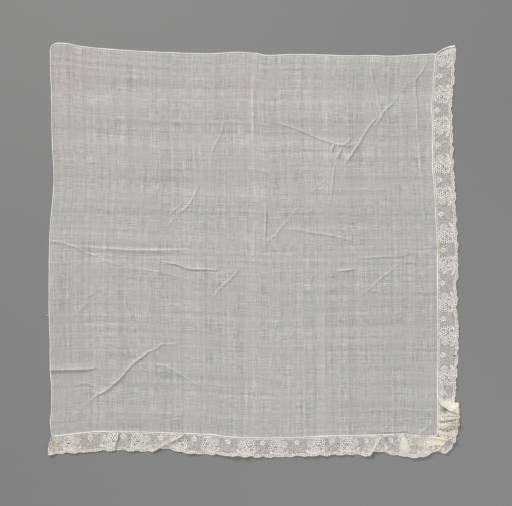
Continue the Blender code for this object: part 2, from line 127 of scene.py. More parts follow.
paper, tree, output = new_material("matt grey paper")
here = node(tree, "ShaderNodeTexCoord").outputs["Object"]
grey = node(tree, "ShaderNodeRGB").outputs[0]
grey.default_value = linear("#858585")
for row in PAINTED_LIGHT_POOLS:
    away = node(tree, "ShaderNodeVectorMath", {0: here, 1: (row.x, row.y, 0.0)},
                operation="DISTANCE").outputs["Value"]
    painted_light = node(tree, "ShaderNodeMapRange", {
        "Value": away, "From Min": 0.0, "From Max": row.radius,
        "To Min": 1 + row.strength, "To Max": 1.0,
    }, interpolation_type="SMOOTHSTEP").outputs[0]
    grey = node(tree, "ShaderNodeVectorMath", {0: grey, "Scale": painted_light}, operation="SCALE").outputs[0]
shader = node(tree, "ShaderNodeBsdfPrincipled", {
    "Base Color": grey, "Roughness": 0.95, "Specular IOR Level": 0.1,
})
tree.links.new(shader.outputs[0], output.inputs[0])
bpy.ops.mesh.primitive_plane_add(size=FLOOR_SIDE)
floor = bpy.context.object
floor.name = "floor"
floor.data.materials.append(paper)
print("floor:", FLOOR_SIDE, "m square,", len(tree.nodes), "nodes")

# %% Lamps and world
Lamp = namedtuple("Lamp", "name place side power colour")
LAMPS = [
    Lamp("key_lamp", (-3.9, 4.45, 3.75), 1.8, 368.0, "#fffdf8"),
    Lamp("fill_lamp", (2.2, -1.6, 3.4), 3.0, 52.0, "#fbfcff"),
]
for row in LAMPS:
    lamp_data = bpy.data.lights.new(row.name, "AREA")
    lamp_data.size = row.side
    lamp_data.energy = row.power
    lamp_data.color = linear(row.colour)[:3]
    lamp = bpy.data.objects.new(row.name, lamp_data)
    lamp.location = row.place
    lamp.rotation_euler = (-Vector(row.place)).to_track_quat("-Z", "Y").to_euler()
    bpy.context.scene.collection.objects.link(lamp)

world = bpy.data.worlds.new("pale room")
world.use_nodes = True
world.node_tree.nodes["Background"].inputs["Color"].default_value = linear("#f4f6f8")
world.node_tree.nodes["Background"].inputs["Strength"].default_value = 0.42
bpy.context.scene.world = world
print("lamps:", [row.name for row in LAMPS])


# %% [markdown]
# ## The square's four edges
#
# No edge of a hand-hemmed cloth is straight. Each one is a straight line plus a short table of how far
# it strays, in millimetres, read through a smooth curve. The solid model uses the same tables, so the
# sheet made here lies exactly on it.

# %% Tables of the edges
CLOTH_LEFT, CLOTH_RIGHT, CLOTH_LOW, CLOTH_TOP = -406.0, 367.0, -371.0, 392.0
CORNER_RADIUS = 14.0
ROUNDS = 4

Waver = namedtuple("Waver", "along off")


def wavers(*rows):
    """A table of places along a line, each with how far something lies off the line there."""
    return [Waver(*row) for row in rows]


TOP_WAVER = wavers(
    (-390, 22.6), (-370, 21.4), (-352, 17.2), (-318, 13.0),
    (-266, 8.8), (-181, 4.0), (-100, 1.6), (-74, 1.8), (-34, 4.4),
    (4, 2.2), (24, -1.8), (86, 0.2), (200, -2.8), (232, -2.0),
    (275, -3.4), (314, -1.4), (365, 1.4),
)
LEFT_WAVER = wavers(
    (-372, -2.0), (-344, 1.0), (-321, -1.2), (-272, -1.2),
    (-236, 1.0), (-174, 2.0), (-109, 3.6), (-11, 3.0), (51, 1.0),
    (99, -3.6), (149, -6.2), (201, -3.6), (240, -2.2), (318, -1.2),
    (374, 1.0), (400, 0.5),
)
LOW_WAVER = wavers(
    (-404, 0.9), (-377, -1.7), (-344, -5.7), (-312, -8.3),
    (-266, -8.9), (-214, -7.3), (-165, -5.7), (-116, -3.9),
    (-84, -2.3), (-50, 1.9), (4, 4.1), (66, 4.1), (135, 0.9),
    (200, -0.7), (266, -2.3), (298, -3.9), (337, 0.9), (367, 0.0),
)
RIGHT_WAVER = wavers(
    (-371, 0.0), (-337, 0.8), (-207, 0.6), (-109, 0.8), (-11, 0.6),
    (28, -0.8), (77, -3.4), (116, -5.0), (158, -8.4), (201, -9.0),
    (240, -8.4), (279, -10.6), (305, -10.0), (344, -6.6), (370, -5.0),
    (393, -2.2),
)


def read_wave(table, along):
    """The smooth curve through a table's rows, read at one place or at an array of places."""
    knots = np.array([row.along for row in table], float)
    offs = np.array([row.off for row in table], float)
    before = np.maximum(np.arange(len(knots)) - 1, 0)
    after = np.minimum(np.arange(len(knots)) + 1, len(knots) - 1)
    slopes = (offs[after] - offs[before]) / (knots[after] - knots[before])
    along = np.clip(along, knots[0], knots[-1])
    i = np.clip(np.searchsorted(knots, along, side="right") - 1, 0, len(knots) - 2)
    span = knots[i + 1] - knots[i]
    t = (along - knots[i]) / span
    start = (2 * t**3 - 3 * t**2 + 1) * offs[i] + (t**3 - 2 * t**2 + t) * slopes[i] * span
    return start + (3 * t**2 - 2 * t**3) * offs[i + 1] + (t**3 - t**2) * slopes[i + 1] * span


def low_seam(x):
    """The height along Y of the muslin's bottom edge."""
    return CLOTH_LOW - read_wave(LOW_WAVER, x)


def right_seam(y):
    """The place along X of the muslin's right edge."""
    return CLOTH_RIGHT + read_wave(RIGHT_WAVER, y)


def top_hem(x):
    """The height along Y of the muslin's top edge."""
    return CLOTH_TOP + read_wave(TOP_WAVER, x)


def left_hem(y):
    """The place along X of the muslin's left edge."""
    return CLOTH_LEFT - read_wave(LEFT_WAVER, y)


def on_cloth(across, up):
    """Lay unit coordinates between the four edges, as threads lie in the cloth, in millimetres.

    Each edge is read at a place that the others shift a little, so the place is found in a few
    rounds. Then the top left corner is rounded off.
    """
    x = CLOTH_LEFT + (CLOTH_RIGHT - CLOTH_LEFT) * across
    y = CLOTH_LOW + (CLOTH_TOP - CLOTH_LOW) * up
    for _ in range(ROUNDS):
        x, y = (
            left_hem(y) * (1 - across) + right_seam(y) * across,
            low_seam(x) * (1 - up) + top_hem(x) * up,
        )
    left, top = left_hem(400.0), top_hem(-400.0)
    a = np.clip((left + CORNER_RADIUS - x) / CORNER_RADIUS, 0, 1)
    b = np.clip((y - top + CORNER_RADIUS) / CORNER_RADIUS, 0, 1)
    in_corner = (a > 0) & (b > 0)
    x = np.where(in_corner, left + CORNER_RADIUS * (1 - a * np.sqrt(1 - b * b / 2)), x)
    y = np.where(in_corner, top - CORNER_RADIUS * (1 - b * np.sqrt(1 - a * a / 2)), y)
    return x, y


print("cloth corners:", [[round(float(c), 1) for c in on_cloth(a, b)] for a in (0., 1.) for b in (0., 1.)])


# %% [markdown]
# ## The creases
#
# The cloth was folded on its diagonal for years, and smaller folds run off that line. A crease is a
# soft ridge: a route across the cloth, how high it stands at its start, middle and end, and how wide
# it is. A trough has heights below zero. Real creases lean, one flank steep and the other soft. The
# steep flank is a thin bright line where it faces the lamp and a thin dark line where it faces away,
# so each row also says how far the ridge leans to the left of its route.
#
# Sculpting the cloth or simulating it would give folds too, but not these ones in these places.

# %% Table of the creases
Crease = namedtuple("Crease", "name half_width lean start middle end path")
CREASES = [
    Crease("corner_line", 4.5, -0.2, 0.8, 2.0, 1.0, [
        (344, 373), (337, 359), (324, 343), (323, 335), (323, 319)]),
    Crease("right_upright", 4.5, -0.5, 2.0, 2.6, 1.6, [
        (322.5, 341), (322.5, 321), (325.5, 291), (326.5, 261), (328.5, 221), (330.5, 197),
        (332.5, 163)]),
    Crease("diagonal_top", 5.0, -0.1, 0.4, 0.5, 0.5, [
        (342, 357), (318, 338), (302, 328), (291, 314), (279, 297)]),
    Crease("diagonal_high", 5.0, -0.25, 1.0, 2.6, 1.0, [
        (279, 295), (264, 282), (255, 270), (248, 258), (244, 252)]),
    Crease("diagonal_bright", 5.0, -0.25, 0.8, 2.6, 2.8, [
        (247, 272), (244, 262), (235, 254), (221, 233), (213, 220)]),
    Crease("diagonal_steep", 6.0, 0.0, 2.6, 3.6, 0.8, [
        (216, 224), (211, 215), (202, 202), (192, 187), (183, 175)]),
    Crease("diagonal_fork", 5.0, 0.0, 0.4, 0.9, 0.4, [(150, 146), (129, 129), (112, 111)]),
    Crease("diagonal_fork_low", 4.0, 0.0, 0.2, 0.7, 0.3, [(144, 132), (128, 117)]),
    Crease("diagonal_middle", 6.0, -0.1, 0.6, 1.3, 0.6, [
        (92, 90), (73, 66), (61, 53), (51, 42), (43, 30), (29, 20), (17, 2)]),
    Crease("diagonal_lower", 5.0, -0.25, 0.6, 2.3, 0.8, [
        (-30, -37), (-45, -55), (-59, -68), (-71, -80), (-79, -91)]),
    Crease("diagonal_faint", 6.0, 0.0, 0.3, 0.3, 0.2, [
        (-84, -99), (-110, -121), (-134, -139), (-156, -165)]),
    Crease("ridge_head", 5.0, -0.3, 1.6, 2.4, 2.8, [
        (-156, -187), (-172, -187), (-185, -187), (-192, -194), (-204, -200), (-211, -202)]),
    Crease("ridge_neck", 5.5, 0.15, 2.8, 3.2, 2.4, [
        (-211, -202), (-219, -210), (-232, -219), (-245, -230)]),
    Crease("ridge_foot", 5.5, 0.4, 2.4, 3.6, 1.0, [
        (-245, -230), (-253, -240), (-267, -256), (-281, -268), (-291, -277), (-302, -284),
        (-312, -289), (-324, -299)]),
    Crease("diagonal_tail", 6.0, 0.0, 0.6, 0.4, 0.2, [
        (-324, -299), (-346, -317), (-368, -337), (-392, -359)]),
    Crease("left_fold", 6.0, 0.2, 1.4, 2.2, 2.4, [
        (-404, 19), (-384, 16), (-372, 12), (-360, 9), (-348, 4)]),
    Crease("left_fold_fork", 4.5, -0.3, 1.6, 1.8, 0.8, [
        (-348, 4), (-337, -4), (-326, -8), (-313, -12)]),
    Crease("left_fold_run", 5.0, 0.2, 0.8, 1.1, 0.5, [
        (-311, -14), (-288, -24), (-268, -29), (-248, -35), (-218, -38), (-158, -50), (-108, -64)]),
    Crease("left_fold_upper", 8.5, 0.6, 1.2, 4.9, 0.8, [
        (-346, 7.5), (-308, 5), (-268, 2.6), (-228, 0.8), (-188, 0.6), (-150, 2), (-136, 2)]),
    Crease("left_fold_under", 5.0, 0.0, -0.2, -0.5, -0.2, [
        (-292, -7), (-268, -8.5), (-238, -10.5), (-208, -11.5), (-176, -11)]),
    Crease("left_fold_lower", 5.5, -0.6, 1.0, 4.6, 2.4, [
        (-192, -18), (-184, -21), (-168, -26), (-156, -27), (-142, -33), (-128, -37), (-108, -38),
        (-92, -38), (-76, -40)]),
    Crease("hem_ridge", 6.0, -0.7, 6.0, 6.2, 2.2, [
        (-407, -239.5), (-368, -238.5), (-338, -238), (-320, -237)]),
    Crease("hem_ridge_tail", 5.0, 0.2, 0.3, 2.2, 0.8, [
        (-348, -264), (-332, -266), (-318, -270), (-306, -272)]),
    Crease("short_upright", 4.5, -0.3, 0.9, 1.9, 1.0, [
        (-256, -89), (-258, -103), (-254, -115), (-248, -129), (-240, -143), (-234, -157),
        (-228, -171)]),
    Crease("short_upright_end", 4.0, 0.0, 0.3, 0.9, 0.5, [(-228, -181), (-226, -193), (-221, -205)]),
    Crease("ridge_upright", 4.0, 0.0, 0.4, 1.0, 0.4, [(-199, -219), (-198, -236), (-198, -253)]),
    Crease("low_tail", 6.0, 0.6, 0.8, 2.8, 1.6, [
        (-204, -228), (-178, -230), (-164, -236), (-148, -246), (-128, -258), (-112, -268)]),
    Crease("branch", 5.5, 0.1, 0.3, 3.4, 3.2, [
        (28, 258), (44, 256), (62, 251), (92, 241), (112, 232), (132, 224), (158, 215)]),
    Crease("branch_end", 4.5, 0.2, 2.0, 2.8, 1.0, [
        (158, 214), (168, 212), (178, 211), (184, 213), (190, 219), (193, 225)]),
    Crease("branch_join", 4.5, 0.2, 1.2, 1.6, 1.6, [(180, 210), (194, 211), (208, 216)]),
    Crease("branch_stub", 4.5, -0.4, 0.6, 2.8, 1.4, [(155, 195), (158, 205), (161, 213)]),
    Crease("branch_turn", 5.0, -0.4, 1.4, 3.2, 1.2, [(164, 181), (168, 189), (176, 203)]),
    Crease("branch_turn_run", 4.0, 0.3, 0.4, 1.7, 1.0, [
        (154, 101), (155, 117), (157, 131), (160, 157), (163, 172), (165, 180)]),
    Crease("high_upright", 4.0, 0.0, 0.2, 0.5, 0.3, [(190, 293), (190, 262), (190, 231)]),
    Crease("high_spur", 4.5, -0.3, 0.8, 1.8, 0.9, [
        (240, 326), (245, 319), (248, 303), (252, 286), (254, 276)]),
    Crease("high_spur_top", 4.5, -0.4, 1.4, 2.8, 1.4, [(233, 359), (236, 351), (238, 342)]),
    Crease("middle_run", 5.0, 0.2, 0.8, 2.4, 0.7, [
        (66, 45), (86, 42), (98, 40), (116, 36), (142, 33), (162, 29), (178, 26), (192, 22),
        (206, 17), (216, 14)]),
    Crease("middle_run_end", 7.0, -0.3, 0.8, 2.5, 1.0, [
        (208, -15), (236, -14), (262, -12), (292, -12), (306, -9)]),
    Crease("middle_run_last", 5.0, 0.0, 0.2, 0.7, 0.3, [(290, 0), (312, -2), (334, -4)]),
    Crease("middle_upright", 4.0, 0.25, 0.8, 3.4, 1.2, [(22, 21), (23, 41), (24, 71), (23, 95)]),
    Crease("right_spur", 5.0, -0.1, 0.5, 1.5, 0.5, [
        (214, -90), (234, -75), (252, -58), (268, -46), (290, -26)]),
    Crease("right_spur_dark", 4.5, -0.5, 0.8, 3.4, 1.0, [(164, -42), (184, -40), (202, -37)]),
    Crease("left_spur", 4.5, 0.3, 0.8, 2.0, 0.9, [
        (-158, 70), (-143, 80), (-131, 90), (-123, 102), (-115, 120), (-109, 132)]),
    Crease("left_spur_twin", 4.0, 0.0, 0.5, 1.5, 0.6, [(-168, 71), (-156, 83), (-146, 91)]),
    Crease("left_spur_foot", 4.0, 0.2, 0.4, 1.2, 0.5, [(-173, 47), (-166, 56), (-156, 66)]),
    Crease("left_spur_valley", 3.0, 0.0, -0.2, -0.45, -0.3, [
        (-142, 147), (-124, 167), (-108, 183), (-94, 193), (-84, 203)]),
    Crease("left_spur_high", 4.5, 0.3, 0.8, 2.0, 0.6, [
        (-83, 199), (-79, 209), (-73, 220), (-68, 228), (-63, 244), (-59, 259)]),
    Crease("left_spur_drop", 4.0, 0.0, 0.5, 0.9, 0.4, [(-84, 197), (-86, 181), (-87, 167)]),
    Crease("left_spur_side", 4.0, 0.0, 0.3, 0.9, 0.4, [(-74, 213), (-66, 221), (-58, 227)]),
    Crease("pressed_across", 4.0, 0.0, 0.2, 0.5, 0.2, [(-220, 226), (-150, 225), (-78, 225)]),
    Crease("pressed_high", 4.0, 0.0, 0.2, 0.4, 0.2, [(-148, 225), (-110, 224.5), (-72, 224)]),
    Crease("pressed_right", 4.0, 0.0, 0.3, 0.7, 0.5, [(118, 222), (140, 222), (160, 221)]),
    Crease("pressed_low", 4.5, -0.5, 0.3, 1.0, 0.5, [(90, 203), (122, 202), (158, 202)]),
    Crease("side_nick", 4.5, 0.3, 0.4, 1.4, 0.5, [(-352, -121), (-340, -111), (-332, -103)]),
    Crease("side_nick_dark", 4.0, -0.4, 0.4, 1.4, 0.5, [(-336, -94), (-326, -90), (-316, -85)]),
    Crease("side_mark", 4.0, 0.0, 0.2, 0.7, 0.3, [(-312, -213), (-310, -203), (-304, -197)]),
    Crease("pressed_warp", 4.0, -0.3, 0.5, 1.3, 0.8, [(-15.6, 121), (-15.6, 60), (-15.6, -2)]),
    Crease("pressed_warp_low", 4.0, -0.3, 0.6, 1.6, 0.9, [
        (0.4, 51), (0.4, 20), (-1, -8), (-10, -13)]),
    Crease("pressed_warp_high", 6.5, -0.2, 0.8, 2.2, 1.4, [
        (0, 350), (-2, 300), (-1, 250), (-2, 218)]),
    Crease("pressed_foot", 4.0, 0.0, 0.2, 0.7, 0.4, [(116, 107), (116, 92), (115, 77), (98, 75)]),
    Crease("pressed_thread", 4.0, 0.2, 0.2, 0.7, 0.3, [(152, 121), (200, 121), (284, 121)]),
    Crease("pressed_last", 4.0, -0.2, 0.2, 0.7, 0.3, [(-18.6, -203), (-18.6, -233), (-19, -262)]),
    Crease("hem_nick", 4.5, 0.1, 1.0, 2.4, 1.2, [(-390, 191), (-396, 201), (-402, 212)]),
    Crease("corner_nick", 5.0, 0.1, 0.6, 1.1, 0.5, [(256, -365), (268, -351), (282, -338)]),
    Crease("corner_nick_right", 5.0, 0.1, 0.6, 1.3, 0.6, [(334, -365), (346, -354), (357, -344)]),
    Crease("doubled_seam", 4.0, -0.2, 0.8, 2.2, 1.8, [
        (244, -364), (262, -362.5), (284, -362.5), (298, -361), (306, -361), (318, -366)]),
]
CREST_ROUND = 0.3
CREASE_POWER = 1.7
PATH_STEP = 6.0


def smooth_path(path, step):
    """A finer path through the same points, rounded at each of them, in steps of about one size."""
    points = np.array(path, float)
    ghost = np.vstack([2 * points[0] - points[1], points, 2 * points[-1] - points[-2]])
    fine = []
    for i in range(1, len(ghost) - 2):
        p, a, b, q = ghost[i - 1:i + 3]
        count = max(1, ceil(np.linalg.norm(b - a) / step))
        t = (np.arange(count) / count)[:, None]
        fine.append(0.5 * (
            2 * a + (b - p) * t + (2 * p - 5 * a + 4 * b - q) * t**2 + (3 * a - p - 3 * b + q) * t**3
        ))
    return np.vstack([*fine, points[-1:]])


def crease_height(crease, x, y, power=CREASE_POWER):
    """How high one crease lifts the cloth at arrays of places, and how far each is from its crest."""
    path = smooth_path(crease.path, PATH_STEP)
    lengths = np.linalg.norm(np.diff(path, axis=0), axis=1)
    run = np.concatenate([[0.0], np.cumsum(lengths)]) / lengths.sum()
    nearest = np.full(x.shape, np.inf)
    side = np.zeros(x.shape)
    along = np.zeros(x.shape)
    for i, (a, b) in enumerate(zip(path, path[1:])):
        ab = b - a
        t = np.clip(((x - a[0]) * ab[0] + (y - a[1]) * ab[1]) / (ab @ ab), 0, 1)
        dx, dy = x - a[0] - ab[0] * t, y - a[1] - ab[1] * t
        distance = np.hypot(dx, dy)
        closer = distance < nearest
        nearest = np.where(closer, distance, nearest)
        side = np.where(closer, np.sign(ab[0] * dy - ab[1] * dx), side)
        along = np.where(closer, run[i] + (run[i + 1] - run[i]) * t, along)
    rise = crease.middle * np.sin(pi * along)
    ends = np.where(along < 0.5, crease.start, crease.end) * (1 - np.sin(pi * along))
    width = crease.half_width * (1 - crease.lean * side)
    soft = np.sqrt(nearest**2 + CREST_ROUND**2) - CREST_ROUND
    share = np.clip(1 - soft / width, 0, 1)
    return (rise + ends) * share**power, nearest


def creases_at(x, y):
    """The height of all the creases together, and the distance to the nearest crest."""
    height = np.zeros(x.shape)
    distance = np.full(x.shape, np.inf)
    for crease in CREASES:
        reach = 3 * crease.half_width
        low = np.min(crease.path, axis=0) - reach
        high = np.max(crease.path, axis=0) + reach
        near = (x > low[0]) & (x < high[0]) & (y > low[1]) & (y < high[1])
        lift, apart = crease_height(crease, x[near], y[near])
        higher = np.abs(lift) > np.abs(height[near])
        height[near] = np.where(higher, lift, height[near])
        distance[near] = np.minimum(distance[near], apart)
    return height, distance


print("creases:", len(CREASES))


# %% [markdown]
# ## The muslin sheet
#
# The sheet is a grid that follows the warp and the weft. A 6 mm grid is enough where the cloth lies
# flat, and along each crease the cells are cut into 1.2 mm ones, so that a crest stays crisp. A coarse
# cell beside a fine one takes the fine cell's points into its own outline, which leaves no open crack.
# Subdividing the whole grid that finely would cost six times as many faces.

# %% Swells of the cloth
SHEET_BASE = 0.55

Swell = namedtuple("Swell", "height length direction phase")
SWELLS = [
    Swell(0.16, 150.0, 20.0, 0.4), Swell(0.12, 95.0, 75.0, 1.9), Swell(0.09, 62.0, 130.0, 3.0),
    Swell(0.06, 41.0, 50.0, 4.4), Swell(0.05, 33.0, 160.0, 5.2),
]


def swell_at(x, y):
    """The faint unevenness of cloth that lies on a table: a few slow waves, never below zero."""
    total = np.zeros(x.shape)
    for row in SWELLS:
        turn = radians(row.direction)
        phase = (x * cos(turn) + y * sin(turn)) * tau / row.length + row.phase
        total += row.height * (1 + np.sin(phase + 0.8 * np.sin(phase * 0.37))) / 2
    return total


print("swells up to", round(sum(row.height for row in SWELLS), 2), "mm high")

# %% Bars of closer and looser weaving
# A hand weaver beats some picks closer than others and spaces the warp unevenly. A bar's share is
# how much more of its place the threads fill, so a bar below zero is looser than the rest.
# Beside the left and top hems the turned-in edge doubles the cloth, and this share is set high enough that
# it also lightens away the roll's shadow there: partly real, partly painted light.
HEM_SHARE_AND_PAINTED_LIGHT = 0.17

Bar = namedtuple("Bar", "place half_width share")
WEFT_BARS = [
    Bar(337, 17, -0.038), Bar(301, 18, 0.044), Bar(253, 18, -0.056), Bar(214, 9, 0.07),
    Bar(188, 7, 0.03), Bar(146, 16, -0.032), Bar(115, 14, 0.04), Bar(72, 13, -0.054),
    Bar(30, 16, 0.018), Bar(-12, 16, 0.018), Bar(-100, 30, -0.016), Bar(-232, 10, 0.028),
    Bar(-254, 10, -0.022), Bar(-293, 14, 0.018),
]
WARP_BARS = [
    Bar(-317, 10, 0.024), Bar(-280, 9, 0.016), Bar(-176, 18, -0.036), Bar(-132, 20, 0.022),
    Bar(-70, 12, -0.034), Bar(1, 8, 0.07), Bar(-16, 6, 0.03), Bar(68, 28, 0.008),
    Bar(138, 8, 0.06), Bar(196, 8, -0.024), Bar(-405, 110, -0.05), Bar(-235, 40, -0.02),
    Bar(262, 60, -0.022),
]


def bars_at(x, y):
    """How much more, or less, of each place the threads fill because of the bars."""
    total = np.zeros(x.shape)
    for bars, across, along in ((WEFT_BARS, y, x), (WARP_BARS, x, y)):
        for row in bars:
            fade = 0.75 + 0.25 * np.sin(along / 90.0 + row.place)
            total += row.share * fade * np.exp(-((across - row.place) / row.half_width) ** 2)
    return total


print("bars:", len(WEFT_BARS), "along the weft,", len(WARP_BARS), "along the warp")

# %% The sheet's grid
CELL = 6.0
SPLIT = 5
NEAR_CREASE = 7.0


def sheet_cells(fine_cells):
    """Faces of the sheet, as lists of grid places counted in fine steps."""
    columns, rows = fine_cells.shape
    faces = []
    for i in range(columns):
        for j in range(rows):
            x, y = i * SPLIT, j * SPLIT
            if fine_cells[i, j]:
                faces += [
                    [(a, b), (a + 1, b), (a + 1, b + 1), (a, b + 1)]
                    for a in range(x, x + SPLIT) for b in range(y, y + SPLIT)
                ]
                continue
            sides = (
                ((x, y), (1, 0), (i, j - 1)), ((x + SPLIT, y), (0, 1), (i + 1, j)),
                ((x + SPLIT, y + SPLIT), (-1, 0), (i, j + 1)), ((x, y + SPLIT), (0, -1), (i - 1, j)),
            )
            outline = []
            for corner, way, (p, q) in sides:
                inside = 0 <= p < columns and 0 <= q < rows
                count = SPLIT if inside and fine_cells[p, q] else 1
                outline += [(corner[0] + way[0] * k, corner[1] + way[1] * k) for k in range(count)]
            faces.append(outline)
    return faces


columns = ceil((CLOTH_RIGHT - CLOTH_LEFT) / CELL)
rows = ceil((CLOTH_TOP - CLOTH_LOW) / CELL)
middle_u, middle_v = np.meshgrid(
    (np.arange(columns) + 0.5) / columns, (np.arange(rows) + 0.5) / rows, indexing="ij"
)
_, crest_distance = creases_at(*on_cloth(middle_u, middle_v))
cells = sheet_cells(crest_distance < NEAR_CREASE)
places = sorted({place for cell in cells for place in cell})
number = {place: k for k, place in enumerate(places)}
grid = np.array(places, float) / (columns * SPLIT, rows * SPLIT)
sheet_x, sheet_y = on_cloth(grid[:, 0], grid[:, 1])
print("muslin sheet:", len(places), "points,", len(cells), "faces")

# %% The sheet's mesh and its map
crease_lift, _ = creases_at(sheet_x, sheet_y)
sheet_z = SHEET_BASE + crease_lift + swell_at(sheet_x, sheet_y)
sheet_mesh = bpy.data.meshes.new("muslin_sheet")
sheet_mesh.from_pydata(
    np.column_stack([sheet_x, sheet_y, sheet_z]) * MM, [], [[number[p] for p in cell] for cell in cells]
)
sheet_mesh.shade_smooth()
thread_map = sheet_mesh.uv_layers.new(name="OFBake")
loop_points = np.empty(len(sheet_mesh.loops), dtype=np.int32)
sheet_mesh.loops.foreach_get("vertex_index", loop_points)
thread_map.uv.foreach_set("vector", grid[loop_points].astype(np.float32).ravel())
muslin = bpy.data.objects.new("muslin_sheet", sheet_mesh)
bpy.context.scene.collection.objects.link(muslin)
print("creases lift the sheet by", round(float(crease_lift.max()), 1), "mm at most")

# %% What the cloth's material reads at each point
CREST_HIGHLIGHT_WIDTH = 1.1
CREST_HIGHLIGHT_HEIGHT = 2.4
LIT_FLANK = 1.0


def point_values(mesh, name, values):
    """Store one number for each point of a mesh, for a material to read."""
    stored = mesh.attributes.new(name, "FLOAT", "POINT")
    stored.data.foreach_set("value", np.asarray(values, np.float32))


# The band is measured from places moved towards the lamp, so its extra fill whitens each crest's lit
# flank: partly the real doubled threads of a pressed crest, partly a painted highlight.
_, lit_apart = creases_at(sheet_x + LIT_FLANK, sheet_y - LIT_FLANK)
pressed = np.exp(-(lit_apart / CREST_HIGHLIGHT_WIDTH) ** 2) * np.clip(crease_lift / CREST_HIGHLIGHT_HEIGHT, 0, 1)
beside_hem = (grid[:, 0] == 0) | (grid[:, 1] == 1)
point_values(sheet_mesh, "pressed", pressed)
# The hem's share here is partly painted light over the roll's shadow.
point_values(sheet_mesh, "bars", bars_at(sheet_x, sheet_y) + HEM_SHARE_AND_PAINTED_LIGHT * beside_hem)
print("points on a lit crest:", int((pressed > 0.5).sum()))


# %% [markdown]
# ## Sheer muslin
#
# Muslin is plain-woven from very fine cotton, so thin and so open that the table shows through it.
# Its threads were spun unevenly: thick places lie as pale streaks along the warp and the weft, and
# where both are thin the cloth looks grey. That is why the streaks drive how solid the cloth is, and
# not its colour. The real threads are 0.4 mm apart, far finer than the render shows, so the streaks
# are drawn 1 to 7 mm wide, as bundles of neighbouring threads that happen to be thick.
#
# Old cotton also has stains. Each is a soft round place where the colour changes a little. One place
# in the lace's list is painted shade: the dark tan in the hollow under the flap.

# %% Old stains, and one painted shade
TintSpot = namedtuple("TintSpot", "name x y radius strength colour")
RIGHT_EDGE_STAIN = TintSpot("right edge", 369, 6, 13, 0.3, "#c9bb7c")
CLOTH_STAINS = [
    TintSpot("top left corner", -400, 385, 150, 0.16, "#dcb0a4"),
    TintSpot("top left edge", -404, 200, 80, 0.12, "#c8a496"),
    TintSpot("left fold", -338, 2, 26, 0.2, "#c8a094"),
    TintSpot("old fold at the top", -12, 330, 34, 0.16, "#d0a8a0"),
    TintSpot("spot near the top hem", -138.6, 380.1, 2.2, 0.5, "#8d8a3c"),
    RIGHT_EDGE_STAIN,
    *(TintSpot("doubled seam", x, -364, 5, 0.32, "#b08a78") for x in range(228, 292, 7)),
]
LACE_STAINS_AND_SHADE = [
    RIGHT_EDGE_STAIN,
    TintSpot("top end of the lace", 401, 384, 15, 0.26, "#d3a083"),
    TintSpot("clean rolled end", 398, 407, 13, 0.9, "#ffffff"),
    TintSpot("left end of the lace", -402, -384, 20, 0.34, "#b3a974"),
    TintSpot("lace near the left end", -346, -384, 38, 0.15, "#caa08c"),
    TintSpot("clean flap", 398, -309, 40, 0.95, "#fff8ea"),
    TintSpot("gathered folds", 392, -349, 38, 0.8, "#f5ebd9"),
    # Painted shade, not a stain: a dark tan spot where the flap's shadow lies in the hollow below it.
    TintSpot("hollow under the flap", 382.5, -319.5, 11, 0.8, "#96856a"),
    TintSpot("lace beside the corner", 328, -396, 26, 0.5, "#e6dcc9"),
    TintSpot("clean folds at the corner", 368, -375, 40, 0.95, "#fff6e3"),
    TintSpot("clean triangle fold", 300, -388, 20, 0.8, "#fbf4e6"),
]


def stained_and_shaded(tree, colour, stains):
    """Mix old stains, and any painted shade among them, into a colour, each a soft round place."""
    here = node(tree, "ShaderNodeTexCoord").outputs["Object"]
    for row in stains:
        away = node(tree, "ShaderNodeVectorMath", {0: here, 1: (row.x * MM, row.y * MM, MM)},
                    operation="DISTANCE").outputs["Value"]
        amount = node(tree, "ShaderNodeMapRange", {
            "Value": away, "From Min": 0.0, "From Max": row.radius * MM,
            "To Min": row.strength, "To Max": 0.0,
        }, interpolation_type="SMOOTHSTEP").outputs[0]
        colour = node(tree, "ShaderNodeMix", {
            "Factor": amount, "A": colour, "B": linear(row.colour),
        }, data_type="RGBA").outputs["Result"]
    return colour


print("stains:", len(CLOTH_STAINS), "on the cloth,", len(LACE_STAINS_AND_SHADE), "on the lace")

# %% Material: sheer cotton muslin
# Threads fill about half of the cloth's place. A pressed crest, seen edge on, fills more of it, and
# that band lies on the crest's lit flank, so it is partly a painted highlight.
CLOTH_MM = (CLOTH_RIGHT - CLOTH_LEFT, CLOTH_TOP - CLOTH_LOW, 1.0)
SOLID_SHARE = 0.489
CREST_FILL_AND_HIGHLIGHT_SHARE = 0.21
PATCH_SIZE = 48.0
TINT_SIZE = 70.0

Streak = namedtuple("Streak", "name width length share patch_bend")
STREAKS = [
    Streak("warp fine", 1.7, 24.0, 0.83, 0.3), Streak("warp broad", 7.0, 420.0, 0.53, 1 / 3),
    Streak("weft fine", 22.0, 1.3, 0.94, 0.3), Streak("weft broad", 420.0, 7.0, 0.55, 1 / 3),
]

